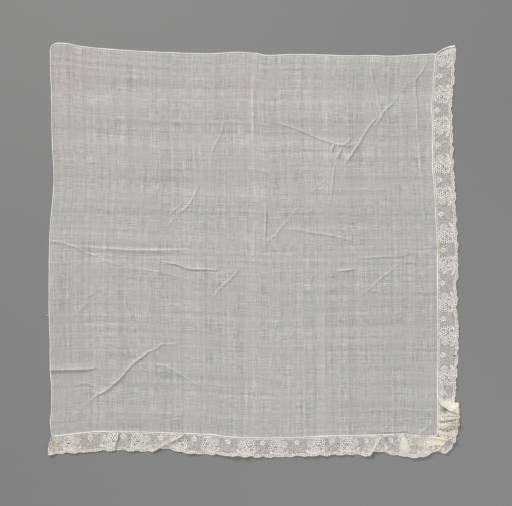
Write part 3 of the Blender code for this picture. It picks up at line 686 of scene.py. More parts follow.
sheer, tree, output = new_material("sheer cotton muslin")
unit = node(tree, "ShaderNodeUVMap", uv_map="OFBake").outputs["UV"]
threads = node(tree, "ShaderNodeVectorMath", {0: unit, 1: CLOTH_MM}, operation="MULTIPLY").outputs[0]
solidness = 0.0
for row in STREAKS:
    stretched = node(tree, "ShaderNodeVectorMath", {
        0: threads, 1: (1 / row.width, 1 / row.length, 1.0),
    }, operation="MULTIPLY").outputs[0]
    noise = node(tree, "ShaderNodeTexNoise", {
        "Vector": stretched, "Scale": 1.0, "Detail": 2.0, "Roughness": 0.6,
    }, noise_dimensions="2D").outputs[0]
    shifted = node(tree, "ShaderNodeMath", {0: noise, 1: -0.5}, operation="ADD").outputs[0]
    patch = node(tree, "ShaderNodeTexNoise", {
        "Vector": threads, "Scale": 1 / PATCH_SIZE, "Detail": 1.0, "Distortion": row.patch_bend,
    }, noise_dimensions="2D").outputs[0]
    felt = node(tree, "ShaderNodeMath", {0: shifted, 1: patch}, operation="MULTIPLY").outputs[0]
    solidness = node(tree, "ShaderNodeMath", {0: felt, 1: row.share, 2: solidness},
                     operation="MULTIPLY_ADD").outputs[0]
crest_fill_and_highlight_here = node(tree, "ShaderNodeAttribute", attribute_name="pressed").outputs["Fac"]
folded = node(tree, "ShaderNodeMath", {0: crest_fill_and_highlight_here, 1: CREST_FILL_AND_HIGHLIGHT_SHARE, 2: SOLID_SHARE},
              operation="MULTIPLY_ADD").outputs[0]
barred = node(tree, "ShaderNodeAttribute", attribute_name="bars").outputs["Fac"]
beaten = node(tree, "ShaderNodeMath", {0: folded, 1: barred}, operation="ADD").outputs[0]
solid_share = node(tree, "ShaderNodeMath", {0: solidness, 1: beaten}, operation="ADD", use_clamp=True)
cloud = node(tree, "ShaderNodeTexNoise", {
    "Vector": threads, "Scale": 1 / TINT_SIZE, "Detail": 2.0, "Roughness": 0.6,
}, noise_dimensions="2D").outputs[0]
tint = node(tree, "ShaderNodeMix", {
    "Factor": cloud, "A": linear("#eeeaee"), "B": linear("#ecece0"),
}, data_type="RGBA").outputs["Result"]
shader = node(tree, "ShaderNodeBsdfPrincipled", {
    "Base Color": stained_and_shaded(tree, tint, CLOTH_STAINS), "Roughness": 0.9, "Specular IOR Level": 0.2,
    "Sheen Weight": 0.1, "Alpha": solid_share.outputs[0],
})
tree.links.new(shader.outputs[0], output.inputs[0])
sheet_mesh.materials.append(sheer)
print("sheer muslin:", len(tree.nodes), "nodes")


# %% [markdown]
# ## The edging's way along the cloth
#
# The lace is one strip, whipped to the bottom edge from left to right, turned round the corner in
# tucks, and whipped on up the right edge. It is described by rows. Each row is a line across the
# strip from the seam to the outer edge. Where the strip lies plain the rows come from the two seams
# and from a table of how wide it lies. Where it is tucked, gathered or folded over, every row is
# listed one by one, and a half round turn joins one layer to the next.

# %% Tables of the strip
# A station is one listed row: where along the seam it starts and how far it is pulled off
# it, where its outer edge lies, how high both of its ends lie, whether the strip turns back after
# it, and how far the row bows. FLAT, SECOND and THIRD are the heights of layers on each other.
LACE_WIDTH = 39.0
SEAM_GAP = 0.35
FLAT, SECOND, THIRD = 0.5, 2.1, 3.7

Stretch = namedtuple("Stretch", "start end")
Station = namedtuple(
    "Station", "seam seam_off edge_x edge_y seam_z edge_z turn bow", defaults=(False, 0.0)
)

LOW_REACH = wavers(
    (-404, 36.5), (-377, 35.8), (-344, 38.8), (-312, 38.6),
    (-266, 37.4), (-227, 38.4), (-100, 39.6), (-50, 37.4), (4, 37.4),
    (37, 38.2), (86, 37.2), (135, 38.0), (168, 37.4), (200, 37.6),
)
RIGHT_REACH = wavers(
    (-290, 35.0), (-246, 38.4), (-207, 40.8), (-145, 41.4),
    (-122, 37.8), (-99, 39.8), (-76, 36.8), (-43, 40.8), (-11, 40.0),
    (11, 41.0), (44, 40.6), (77, 40.4), (149, 41.4), (191, 40.6),
    (240, 38.8), (272, 39.6), (305, 39.6), (344, 40.6), (374, 38.8),
)
LOW_CURL = wavers(
    (-404, 4.0), (-386, 2.0), (-364, 3.2), (-340, 2.2), (-316, 1.8),
    (-292, 2.8), (-256, 3.2), (-220, 2.8), (-192, 2.8), (-160, 0.8),
    (-138, 1.0), (-116, 3.4), (-96, 0.6), (-68, 3.4), (-44, 6.6),
    (-18, 5.6), (4, 3.6), (28, 1.8), (72, 1.0), (100, 3.8),
    (124, 4.8), (152, 3.4), (176, 3.4), (200, 4.4),
)
LOW_PLAIN = [Stretch(-382, -293), Stretch(-257, -220), Stretch(-100, 202)]
RIGHT_PLAIN = Stretch(-285, 373)
LOW_END = [
    Station(-404, 0, -409.8, -408.5, FLAT, 5.0, False, 2.4),
    Station(-400, 0, -405, -408.2, FLAT, 4.6),
    Station(-395, 0, -398, -407.5, FLAT, 3.0),
    Station(-389, 0, -390, -406.5, FLAT, 1.4),
]
SMALL_TUCK = [
    Station(-286, 0, -293, -401, 1.2, 1.4),
    Station(-279, 0, -287, -401, 2.4, 2.8),
    Station(-269, 0.8, -278, -400, 2.8, 2.8, True),
    Station(-273, 1.4, -283, -399, 1.7, 1.7, True),
    Station(-264, 0, -273, -399, FLAT, FLAT),
]
SLANTED_TUCK = [
    Station(-212, 0, -216, -402, FLAT, FLAT),
    Station(-190, 0, -211, -402, FLAT, 1.6),
    Station(-163, 0, -205.5, -402, 1.4, 2.6),
    Station(-137, 1.0, -200, -402, 2.6, 2.6, True),
    Station(-140, 2.2, -198, -397, 1.6, 1.6, True),
    Station(-134, 0, -187, -396, FLAT, 1.0),
    Station(-128, 0, -172, -396.5, FLAT, 1.4),
    Station(-120, 0, -155, -401, FLAT, 2.4),
    Station(-110, 0, -135, -405, FLAT, 4.4),
    Station(-105, 0, -117, -406.5, FLAT, 5.0),
]
LONG_TUCK = [
    Station(212, 0, 208, -408, FLAT, 1.8),
    Station(228, 0, 215, -409, FLAT, 2.6),
    Station(242, 0, 219, -410, 1.8, 3.8),
    Station(250, 0, 223, -411, 2.7, 4.8),
    Station(254, 0.5, 228.3, -411, 2.7, 5.0),
    Station(257, 0.9, 231, -411, 2.7, 5.2, True),
    Station(254, 1.8, 227, -403, 1.6, 3.2, True),
    Station(259, 0, 239, -402, FLAT, 2.8),
    Station(265, 0, 252, -402, FLAT, 2.6),
    Station(272, 0, 263, -404, FLAT, 1.8),
]
TRIANGLE_TUCK = [
    Station(280, 0, 274, -408, 2.0, 2.2),
    Station(287, 0, 284, -410, 1.6, 2.2),
    Station(293.5, -0.6, 289.5, -410.5, 1.8, 1.6),
    Station(296, -2.6, 291, -411, 3.4, 3.0),
    Station(299.5, -3.4, 315, -401, 3.5, 2.8, True),
    Station(294, 1.2, 291, -409, 2.4, 1.6, True),
    Station(302, 0, 300, -412, FLAT, 2.8),
    Station(309, 0, 314, -414, FLAT, 4.4),
]
CORNER_TURN = [
    Station(320, 0, 326, -414, 0.9, 5.2),
    Station(334, 0, 338, -413, 1.7, 4.8),
    Station(346, -0.3, 350, -408, 2.7, 4.2),
    Station(356, -0.4, 360, -403, 2.8, 3.6),
    Station(368, 0.4, 366, -401, 2.8, 4.0),
    Station(379, 3.0, 369, -399.5, 3.1, 4.0),
    Station(389, 6.0, 371, -398, 3.3, 4.0, True),
    Station(369.6, 3.4, 367, -399, 1.7, 2.3, True),
]
FAN = [
    Station(-374.3, 3.2, 373, -404, FLAT, FLAT),
    Station(-373.5, 3.5, 380, -406, FLAT, 3.4),
    Station(-372.8, 3.7, 387, -404, FLAT, 3.4),
    Station(-372.0, 3.7, 392, -400, FLAT, 2.4),
    Station(-371.2, 3.4, 396, -394, FLAT, 2.6),
    Station(-370.0, 2.8, 398, -388, FLAT, 3.0),
    Station(-368.4, 2.0, 403, -381, FLAT, 3.6),
    Station(-366.4, 1.1, 404, -376, FLAT, 2.8),
    Station(-363.5, 0.4, 407, -366, FLAT, 2.0),
    Station(-359.0, 0, 408.5, -358, FLAT, 2.0),
    Station(-355.0, 0, 408, -353, 1.6, 3.6),
    Station(-350.0, 0, 410.5, -349, 2.4, 4.0),
    Station(-346.0, 0, 410.5, -344.5, FLAT, 1.4),
    Station(-342.0, 0, 410.5, -340.5, 1.4, 4.2),
    Station(-338.0, 0, 411, -336.5, FLAT, 1.2),
    Station(-333.0, 0, 411.5, -332, 1.0, 1.6),
]
FLAP = [
    Station(-326.0, 0, 411.5, -327, FLAT, FLAT),
    Station(-317.0, 0, 411.5, -319, FLAT, FLAT),
    Station(-309.0, 0, 410.5, -312, FLAT, FLAT),
    Station(-301.0, 0.8, 409.5, -305.5, FLAT, FLAT, True),
    Station(-304.5, 1.8, 411, -325.5, SECOND, SECOND, True, 3.6),
    Station(-301.5, 1.0, 409, -319, THIRD, 4.6, False, 2.4),
    Station(-298.5, 0, 405, -311, THIRD, 4.2, False, 1.0),
    Station(-295.5, 0, 401, -303, 3.0, THIRD),
    Station(-292.0, 0, 401, -296, 1.4, 1.6),
]
TOP_END = [
    Station(380, 0, 403.0, 384, FLAT, FLAT),
    Station(384, 0, 404.5, 391, FLAT, FLAT),
    Station(388, 0, 404.5, 398, FLAT, FLAT),
    Station(391, 0, 404.0, 403.5, FLAT, FLAT, False, -1.75),
    Station(393, 0, 402.3, 408.3, FLAT, FLAT, False, -3.5),
]
print("rows placed by hand:", sum(len(table) for table in (
    LOW_END, SMALL_TUCK, SLANTED_TUCK, LONG_TUCK, TRIANGLE_TUCK, CORNER_TURN, FAN, FLAP, TOP_END)))

# %% Rows where the strip lies plain
ROW_STEP = 2.5
RISING_ROWS = 3

Row = namedtuple("Row", "seam edge bow square")
Side = namedtuple("Side", "station seam_line reach curl outward fray")


def low_station(row, square=False):
    """A row of the bottom stretch."""
    seam = Vector((row.seam, float(low_seam(row.seam)) - SEAM_GAP - row.seam_off, row.seam_z))
    return Row(seam, Vector((row.edge_x, row.edge_y, row.edge_z)), row.bow, square), row.turn


def right_station(row, square=False):
    """A row of the right stretch."""
    seam = Vector((float(right_seam(row.seam)) + SEAM_GAP + row.seam_off, row.seam, row.seam_z))
    return Row(seam, Vector((row.edge_x, row.edge_y, row.edge_z)), row.bow, square), row.turn


def low_curl(along):
    """How high the bottom edge curls off the table at one place."""
    return FLAT + float(read_wave(LOW_CURL, along))


def right_curl(along):
    """How high the right edge curls off the table: less, and more evenly."""
    return FLAT + 0.7 + 0.6 * sin(along / 15.0) + 0.4 * sin(along / 6.3 + 1.0)


def unevenness(along, fine):
    """How far the worn outer edge strays from its line at one place."""
    small = fine * sin(along / 1.9 + 2.0 * sin(along / 23.0))
    return small + 0.8 * sin(along / 5.2 + 1.4 * sin(along / 31.0))


LOW_SIDE = Side(low_station, low_seam, LOW_REACH, low_curl, -1, 0.3)
RIGHT_SIDE = Side(right_station, right_seam, RIGHT_REACH, right_curl, 1, 0.7)


def plain_rows(stretch, side):
    """Rows where the strip lies plain along one side. Its curl rises from nothing at both ends."""
    count = ceil((stretch.end - stretch.start) / ROW_STEP)
    rows = []
    for k in range(count + 1):
        along = stretch.start + (stretch.end - stretch.start) * k / count
        wide = float(read_wave(side.reach, along)) + unevenness(along, side.fray)
        edge = float(side.seam_line(along)) + side.outward * wide
        place = (along, edge) if side is LOW_SIDE else (edge, along)
        risen = min(k, count - k, RISING_ROWS) / RISING_ROWS
        lift = FLAT + (side.curl(along) - FLAT) * risen
        rows.append(side.station(Station(along, 0, *place, FLAT, lift), True))
    return rows


print("right side:", len(plain_rows(RIGHT_PLAIN, RIGHT_SIDE)), "plain rows")

# %% Turns, and all the rows together
TURN_STEPS = 6


def half_turn(row, before, next_z):
    """The strip's half round turn from one layer of a fold to the next."""
    line = (row.edge - row.seam).to_2d().normalized()
    ahead = Vector((line.y, -line.x))
    if ahead.dot((row.seam.lerp(row.edge, 0.5) - before).to_2d()) < 0:
        ahead = -ahead
    made = []
    for k in range(TURN_STEPS + 1):
        angle = pi * k / TURN_STEPS
        pair = []
        for point, z_next in zip((row.seam, row.edge), next_z):
            out = ahead * (0.5 * abs(z_next - point.z) * sin(angle))
            z = point.z + (z_next - point.z) * 0.5 * (1 - cos(angle))
            pair.append(Vector((point.x + out.x, point.y + out.y, z)))
        made.append(Row(*pair, row.bow, False))
    return made


def strip_rows():
    """Every row of the strip, from the cut end at the bottom left to the cut end at the top."""
    stations = [low_station(row, row is LOW_END[0]) for row in LOW_END]
    corner = LONG_TUCK + TRIANGLE_TUCK + CORNER_TURN
    for stretch, folds in zip(LOW_PLAIN, (SMALL_TUCK, SLANTED_TUCK, corner)):
        stations += plain_rows(stretch, LOW_SIDE)
        stations += [low_station(row) for row in folds]
    stations += [right_station(row) for row in FAN + FLAP]
    stations += plain_rows(RIGHT_PLAIN, RIGHT_SIDE)
    stations += [right_station(row, row is TOP_END[-1]) for row in TOP_END]
    made = []
    for i, (row, turn) in enumerate(stations):
        if not turn:
            made.append(row)
            continue
        after, after_turn = stations[i + 1]
        if after_turn:
            next_z = (after.seam.z, after.edge.z)
        else:
            next_z = (FLAT, FLAT) if after.edge.z < row.edge.z else (THIRD, THIRD)
        made += half_turn(row, made[-1].seam.lerp(made[-1].edge, 0.5), next_z)
    return made


ROWS = strip_rows()
SEAM = np.array([row.seam for row in ROWS])
EDGE = np.array([row.edge for row in ROWS])
BOW = np.array([row.bow for row in ROWS])
SQUARE = [i for i, row in enumerate(ROWS) if row.square]
print("strip:", len(ROWS), "rows, of which", len(SQUARE), "lie square to the seam")

# %% The strip's own length
GATHER = 1.55
PLEATED = Stretch(-377.0, -293.0)
PLEATED_FROM_X = 360.0


def run_lengths():
    """The strip's own length up to each row, along its seam and along its outer edge.

    Wherever the strip lies square to its seam the two agree. Between two such places the shorter
    side is gathered, so it is stretched to the length of the longer one. The fan at the corner is
    gathered along both of its sides, in pleats too fine to be rows.
    """
    runs = np.zeros((2, len(ROWS)))
    x, y = SEAM[1:, 0], SEAM[1:, 1]
    pleated = (x > PLEATED_FROM_X) & (y > PLEATED.start) & (y < PLEATED.end)
    fine_pleats = np.where(pleated, GATHER, 1.0)
    for a, b in zip(SQUARE, SQUARE[1:]):
        steps = [
            np.linalg.norm(np.diff(side[a:b + 1], axis=0), axis=1) * fine_pleats[a:b]
            for side in (SEAM, EDGE)
        ]
        whole = max(step.sum() for step in steps)
        for run, step in zip(runs, steps):
            run[a + 1:b + 1] = run[a] + np.cumsum(step) * whole / step.sum()
    return runs


SEAM_RUN, EDGE_RUN = run_lengths()
print("strip:", round(SEAM_RUN[-1]), "mm of lace")


# %% [markdown]
# ## Where the flowers fall
#
# The lace repeats every 138.8 mm, with two small flowers in each repeat. A few of the flowers that are
# easy to pick out tell where the pattern lies along each side, and the strip between two of them is
# eased evenly.

# %% Flowers along the two sides
HALF_REPEAT = 69.4
REPEAT = 2 * HALF_REPEAT
RIGHT_FROM_X = 300.0

Flower = namedtuple("Flower", "side place count")
FLOWERS = [
    Flower("low", -327.6, 1), Flower("low", -259.6, 2), Flower("low", -117.6, 4),
    Flower("low", -51.6, 5), Flower("low", 17.6, 6), Flower("low", 86.4, 7),
    Flower("low", 156.4, 8), Flower("right", -209.1, 17), Flower("right", -137.1, 18),
    Flower("right", -65.1, 19), Flower("right", 0.9, 20), Flower("right", 72.9, 21),
    Flower("right", 140.9, 22), Flower("right", 210.9, 23), Flower("right", 280.9, 24),
    Flower("right", 348.9, 25),
]


def run_at(flower):
    """The strip's own length at a flower's place beside its seam."""
    rows = [i for i in SQUARE if (SEAM[i][0] < RIGHT_FROM_X) == (flower.side == "low")]
    axis = 0 if flower.side == "low" else 1
    return np.interp(flower.place, SEAM[rows][:, axis], SEAM_RUN[rows])


print("flowers:", [(row.count, round(float(run_at(row)))) for row in FLOWERS])


# %% [markdown]
# ## One repeat of the lace, drawn flat
#
# Along is `u`, across from the seam is `v`, both in millimetres. The repeat is its own mirror image: a
# small round flower at its start, a spray, a second small flower half way, and the spray again the
# other way round. A spray is a round medallion filled with an open net, a petalled blossom beside it,
# and a broad leaf below them both. The outer edge is scalloped, with a row of eyelets and tiny loops.

# %% Outlines of the motifs
ARC_STEP = 1.1


def closed(radius_at, centre, size):
    """A closed outline about a centre, from a function of the angle."""
    count = max(10, ceil(tau * size / ARC_STEP))
    angles = [tau * k / count for k in range(count)]
    return [(centre[0] + radius_at(a) * cos(a), centre[1] + radius_at(a) * sin(a)) for a in angles]


def disc(centre, radius):
    """A round outline."""
    return closed(lambda angle: radius, centre, radius)


def rosette(centre, radius, petals, depth, turn):
    """The outline of a flower with round petals."""
    def radius_at(angle):
        return radius * (1 - depth * (1 - abs(sin(petals * (angle - turn) / 2))))
    return closed(radius_at, centre, radius * 1.15)


def leaf(base, length, width, turn):
    """A pointed leaf that grows from its base."""
    count = max(5, ceil(length / ARC_STEP))
    side = [(length * k / count, 0.5 * width * sin(pi * k / count) ** 0.8) for k in range(count + 1)]
    around = side + [(x, -y) for x, y in reversed(side[1:-1])]
    c, s = cos(radians(turn)), sin(radians(turn))
    return [(base[0] + x * c - y * s, base[1] + x * s + y * c) for x, y in around]


def broad_leaf(base, radius, lobes):
    """A broad lobed leaf that opens like a fan towards the seam from its base."""
    outline = [(base[0] - 2.2, base[1]), (base[0] + 2.2, base[1])]
    count = lobes * 7
    for k in range(count + 1):
        angle = radians(8 + 164 * k / count)
        lobe = abs(sin(lobes * pi * k / count)) ** 0.6
        reach = radius * (0.78 + 0.22 * lobe) * (1 - 0.16 * abs(cos(angle)))
        outline.append((base[0] + reach * cos(angle) * 1.18, base[1] - reach * sin(angle)))
    return outline


def openings(centre, radius, count, size, start, end):
    """A row of small round holes on an arc about a centre."""
    step = (end - start) / count
    angles = [start + step * (k + 0.5) for k in range(count)]
    return [disc((centre[0] + radius * cos(a), centre[1] + radius * sin(a)), size) for a in angles]


def mirrored(outline):
    """The same outline in the second half of the repeat, the other way round."""
    return [(REPEAT - u, v) for u, v in reversed(outline)]


print("points round a 9 mm disc:", len(disc((0.0, 0.0), 4.5)))

# %% The scalloped border
SCALLOPS = 6
SCALLOP = REPEAT / SCALLOPS
SCALLOP_MIDDLE = 0.64
OUTER_INSET, OUTER_DEPTH = 0.9, 1.9
INNER_INSET, INNER_DEPTH = 5.6, 0.9


def scallop_wave(u):
    """The scallops' own wave: one arch for each of them, about its mean."""
    return abs(sin(pi * u / SCALLOP)) - SCALLOP_MIDDLE


def scallop_out(u):
    """The outer edge of the cloth part of the border."""
    return LACE_WIDTH - OUTER_INSET + OUTER_DEPTH * scallop_wave(u)


def scallop_in(u):
    """The inner edge of the border."""
    return LACE_WIDTH - INNER_INSET - INNER_DEPTH * scallop_wave(u)


def border(at):
    """A line along the whole repeat, from a function that gives v at each u."""
    count = ceil(REPEAT / ARC_STEP)
    return [(REPEAT * k / count, at(REPEAT * k / count)) for k in range(count + 1)]


print("border:", round(scallop_out(0) - scallop_in(0), 2), "mm wide at its narrowest")

# %% The motifs
# A motif is an outline with holes, and how much of its place its threads fill.
Motif = namedtuple("Motif", "outline holes dense")
MEDALLION = (26.5, 13.2)
MEDALLION_RING = 9.2
MEDALLION_HOLE = 7.4
BLOSSOM = (42.6, 13.6)
LEAF_BASE = (33.5, 33.4)
CLOSE_FLOWER = (0.0, 9.8)
FAR_FLOWER = (HALF_REPEAT, 9.8)
HALF_MOTIFS = [
    Motif(disc(MEDALLION, MEDALLION_RING), [disc(MEDALLION, MEDALLION_HOLE)], 0.8),
    Motif(rosette(BLOSSOM, 8.4, 6, 0.34, 0.3), [
        disc(BLOSSOM, 1.3), *openings(BLOSSOM, 4.7, 6, 1.15, 0.3, 0.3 + tau),
    ], 0.79),
    Motif(broad_leaf(LEAF_BASE, 13.2, 5), [
        *openings(LEAF_BASE, 5.6, 3, 1.2, -2.5, -0.64), *openings(LEAF_BASE, 9.8, 5, 1.3, -2.7, -0.44),
    ], 0.79),
    Motif(leaf((45.5, 31.8), 10.0, 5.0, -48), [], 0.9),
    Motif(leaf((20.5, 31.8), 8.5, 4.6, -138), [], 0.9),
]
MIDDLE_MOTIFS = [
    Motif(rosette(CLOSE_FLOWER, 5.6, 5, 0.3, 0.3), [disc(CLOSE_FLOWER, 1.4)], 0.92),
    Motif(rosette(FAR_FLOWER, 5.4, 5, 0.3, -0.9), [disc(FAR_FLOWER, 1.4)], 0.92),
]
EYELETS_A_SCALLOP = 5
EYELET_RADIUS = 0.85
EYELET_US = [(k + 0.5) * SCALLOP / EYELETS_A_SCALLOP for k in range(EYELETS_A_SCALLOP * SCALLOPS)]
EYELETS = [disc((u, 0.5 * (scallop_in(u) + scallop_out(u))), EYELET_RADIUS) for u in EYELET_US]
BORDER = Motif(border(scallop_out) + border(scallop_in)[::-1], EYELETS, 0.88)
FOOTING_WIDTH = 3.2
FOOTING = Motif(border(lambda u: FOOTING_WIDTH) + border(lambda u: 0.0)[::-1], [], 0.75)
MOTIFS = HALF_MOTIFS + [
    Motif(mirrored(row.outline), [mirrored(hole) for hole in row.holes], row.dense)
    for row in HALF_MOTIFS
] + MIDDLE_MOTIFS + [BORDER, FOOTING]
print("motifs:", len(MOTIFS), "eyelets:", len(EYELETS))


# %% Cloth stitch: the solid parts of the pattern
CLOTH_STEP = 2.4
CLOTH_LIFT = 0.12
CLOTH_MARGIN = 0.8


def inside(outline, points):
    """Which of the points lie inside a closed outline."""
    ring = np.array(outline)
    held = np.zeros(len(points), bool)
    for (x1, y1), (x2, y2) in zip(ring, np.roll(ring, -1, axis=0)):
        crosses = (y1 > points[:, 1]) != (y2 > points[:, 1])
        at = x1 + (x2 - x1) * (points[:, 1] - y1) / (y2 - y1 if y2 != y1 else 1.0)
        held ^= crosses & (points[:, 0] < at)
    return held


def cloth_stitch(motif):
    """The flat mesh of one solid motif, with its holes left open: points and triangles."""
    rings = [motif.outline, *motif.holes]
    points, edges = [], []
    for ring in rings:
        first = len(points)
        points += ring
        edges += [(first + k, first + (k + 1) % len(ring)) for k in range(len(ring))]
    low, high = np.min(motif.outline, axis=0), np.max(motif.outline, axis=0)
    us, vs = np.meshgrid(
        np.arange(low[0] + 1, high[0], CLOTH_STEP),
        np.arange(low[1] + CLOTH_MARGIN, high[1], CLOTH_STEP),
    )
    us[::2] += CLOTH_STEP / 2
    fill = np.column_stack([us.ravel(), vs.ravel()])
    fill = fill[inside(motif.outline, fill)]
    ring_points = np.array(points)
    apart = np.linalg.norm(fill[:, None] - ring_points[None], axis=2).min(axis=1)
    points += [tuple(p) for p in fill[apart > CLOTH_MARGIN]]
    flat, _, faces, _, _, _ = delaunay_2d_cdt([Vector(p) for p in points], edges, [], 1, 1e-4)
    flat = np.array([tuple(p) for p in flat])
    centres = np.array([flat[list(face)].mean(axis=0) for face in faces])
    keep = inside(motif.outline, centres)
    for hole in motif.holes:
        keep &= ~inside(hole, centres)
    return flat, [face for face, kept in zip(faces, keep) if kept]


def flat_object(name, parts):
    """One object from several chart pieces, each its points, its faces and how dense it is."""
    points, faces, dense = [], [], []
    for part_points, part_faces, part_dense in parts:
        faces += [[len(points) + i for i in face] for face in part_faces]
        points += [tuple(p) for p in part_points]
        dense += [part_dense] * len(part_points)
    mesh = bpy.data.meshes.new(name)
    mesh.from_pydata(points, [], faces)
    point_values(mesh, "dense", dense)
    made = bpy.data.objects.new(name, mesh)
    bpy.context.scene.collection.objects.link(made)
    return made


def with_height(flat, height):
    """Flat points at one height above the strip's face."""
    return np.column_stack([flat, np.full(len(flat), height)])


cloth_parts = []
for motif in MOTIFS:
    flat, faces = cloth_stitch(motif)
    cloth_parts.append((with_height(flat, CLOTH_LIFT), faces, motif.dense))
cloth_repeat = flat_object("cloth_repeat", cloth_parts)


# %% [markdown]
# ## Copies by Geometry Nodes
#
# The net is one six-sided mesh copied thousands of times, and the finished repeat is copied along the
# strip. Array modifiers could do the second but not the first, because the net stops at the motifs.
# Both use the same small node tree: it puts a copy of an object on each point of a mesh, turned and
# sized by the point's own attributes, makes the copies real, and joins the points that meet.

# %% The copying tree
def copying_tree():
    """Geometry Nodes that put copies of an object on the points of a mesh."""
    tree = bpy.data.node_groups.new("copies on points", "GeometryNodeTree")
    for name, kind, way in (
        ("Points", "NodeSocketGeometry", "INPUT"), ("Original", "NodeSocketObject", "INPUT"),
        ("Join Distance", "NodeSocketFloat", "INPUT"), ("Material", "NodeSocketMaterial", "INPUT"),
        ("Copies", "NodeSocketGeometry", "OUTPUT"),
    ):
        tree.interface.new_socket(name, in_out=way, socket_type=kind)
    given = node(tree, "NodeGroupInput").outputs
    original = node(tree, "GeometryNodeObjectInfo", {"Object": given["Original"]})
    turn = node(tree, "GeometryNodeInputNamedAttribute", {"Name": "turn"}, data_type="FLOAT")
    size = node(tree, "GeometryNodeInputNamedAttribute", {"Name": "size"}, data_type="FLOAT")
    rotation = node(tree, "ShaderNodeCombineXYZ", {"Z": turn.outputs["Attribute"]})
    laid = node(tree, "GeometryNodeInstanceOnPoints", {
        "Points": given["Points"], "Instance": original.outputs["Geometry"],
        "Rotation": rotation.outputs[0], "Scale": size.outputs["Attribute"],
    })
    real = node(tree, "GeometryNodeRealizeInstances", {"Geometry": laid.outputs[0]})
    joined = node(tree, "GeometryNodeMergeByDistance", {
        "Geometry": real.outputs[0], "Distance": given["Join Distance"],
    })
    coloured = node(tree, "GeometryNodeSetMaterial", {
        "Geometry": joined.outputs[0], "Material": given["Material"],
    })
    node(tree, "NodeGroupOutput", {"Copies": coloured.outputs[0]})
    return tree


COPYING = copying_tree()
print("copying tree:", len(COPYING.nodes), "nodes")


# %% Copies as a plain mesh
def copies(name, original, places, turns=None, sizes=None, join=0.0, material=None):
    """A mesh of copies of one object at the places, turned about Z and sized one by one."""
    count = len(places)
    points = bpy.data.meshes.new(name + "_points")
    points.from_pydata(places, [], [])
    for key, values, default in (("turn", turns, 0.0), ("size", sizes, 1.0)):
        point_values(points, key, [default] * count if values is None else values)
    holder = bpy.data.objects.new(name, points)
    bpy.context.scene.collection.objects.link(holder)
    modifier = holder.modifiers.new("copies", "NODES")
    modifier.node_group = COPYING
    sockets = {item.name: item.identifier for item in COPYING.interface.items_tree}
    modifier[sockets["Original"]] = original
    modifier[sockets["Join Distance"]] = join
    modifier[sockets["Material"]] = material
    depsgraph = bpy.context.evaluated_depsgraph_get()
    mesh = bpy.data.meshes.new_from_object(holder.evaluated_get(depsgraph))
    holder.modifiers.remove(modifier)
    holder.data = mesh
    bpy.data.meshes.remove(points)
    return holder


def remove(*used):
    """Take objects that were only patterns for others out of the file."""
    for thing in used:
        mesh = thing.data
        bpy.data.objects.remove(thing)
        bpy.data.meshes.remove(mesh)


print("the tree's sockets:", [item.name for item in COPYING.interface.items_tree])

# %% Net and fillings
NET_ACROSS = 69
NET_PITCH = REPEAT / NET_ACROSS
NET_BAR = 0.72
OPEN_ACROSS = 30
OPEN_PITCH = REPEAT / OPEN_ACROSS
OPEN_BAR = 2.1
OPEN_REACH = 15.0
OPEN_LIFT = 0.03
NET_MARGIN = 0.8


def net_cell(pitch, bar):
    """One mesh of the net: a six-sided ring whose outer corners are its neighbours' as well."""
    points, faces = [], []
    for radius in (pitch / 3 ** 0.5, (pitch - bar) / 3 ** 0.5):
        points += [(radius * cos(radians(30 + 60 * k)), radius * sin(radians(30 + 60 * k)), 0.0)
                   for k in range(6)]
    for k in range(6):
        faces.append((k, (k + 1) % 6, 6 + (k + 1) % 6, 6 + k))
    return flat_object("net_cell", [(points, faces, 1.0)])


def cell_places(pitch, low, high):
    """The middles of net cells in staggered rows, for one repeat."""
    places = []
    row_step = pitch * 3 ** 0.5 / 2
    for j in range(ceil((high - low) / row_step)):
        shift = 0.5 * pitch * (j % 2)
        places += [(shift + i * pitch, low + j * row_step) for i in range(round(REPEAT / pitch))]
    return np.array(places)


def ground_net(name, pitch, bar, is_open):
    """The net between the motifs, for one repeat: the fine net, or the open one round medallions."""
    ground = cell_places(pitch, FOOTING_WIDTH + NET_MARGIN, LACE_WIDTH)
    covered = ground[:, 1] > [scallop_in(u) for u in ground[:, 0]]
    for motif in MOTIFS[:-1]:
        for shift in (0.0, REPEAT):
            covered |= inside([(u + shift, v) for u, v in motif.outline], ground)
    half = np.minimum(ground[:, 0], REPEAT - ground[:, 0])
    reach = np.hypot(half - MEDALLION[0], ground[:, 1] - MEDALLION[1])
    in_medallion = reach < MEDALLION_HOLE - NET_MARGIN
    near = (reach < OPEN_REACH) & ~covered | in_medallion
    kept = near if is_open else ~near & ~covered
    cell = net_cell(pitch, bar)
    net = copies(name, cell, with_height(ground[kept], OPEN_LIFT * is_open), join=0.05)
    remove(cell)
    return net


net_repeat = ground_net("net_repeat", NET_PITCH, NET_BAR, False)
open_repeat = ground_net("open_repeat", OPEN_PITCH, OPEN_BAR, True)
print("net:", len(net_repeat.data.polygons), "open net:", len(open_repeat.data.polygons), "faces")

# %% Outlining cords, stems and veins
CORD_WIDE, CORD_HIGH = 0.7, 0.35
STEM_WIDE, STEM_HIGH = 0.55, 0.25


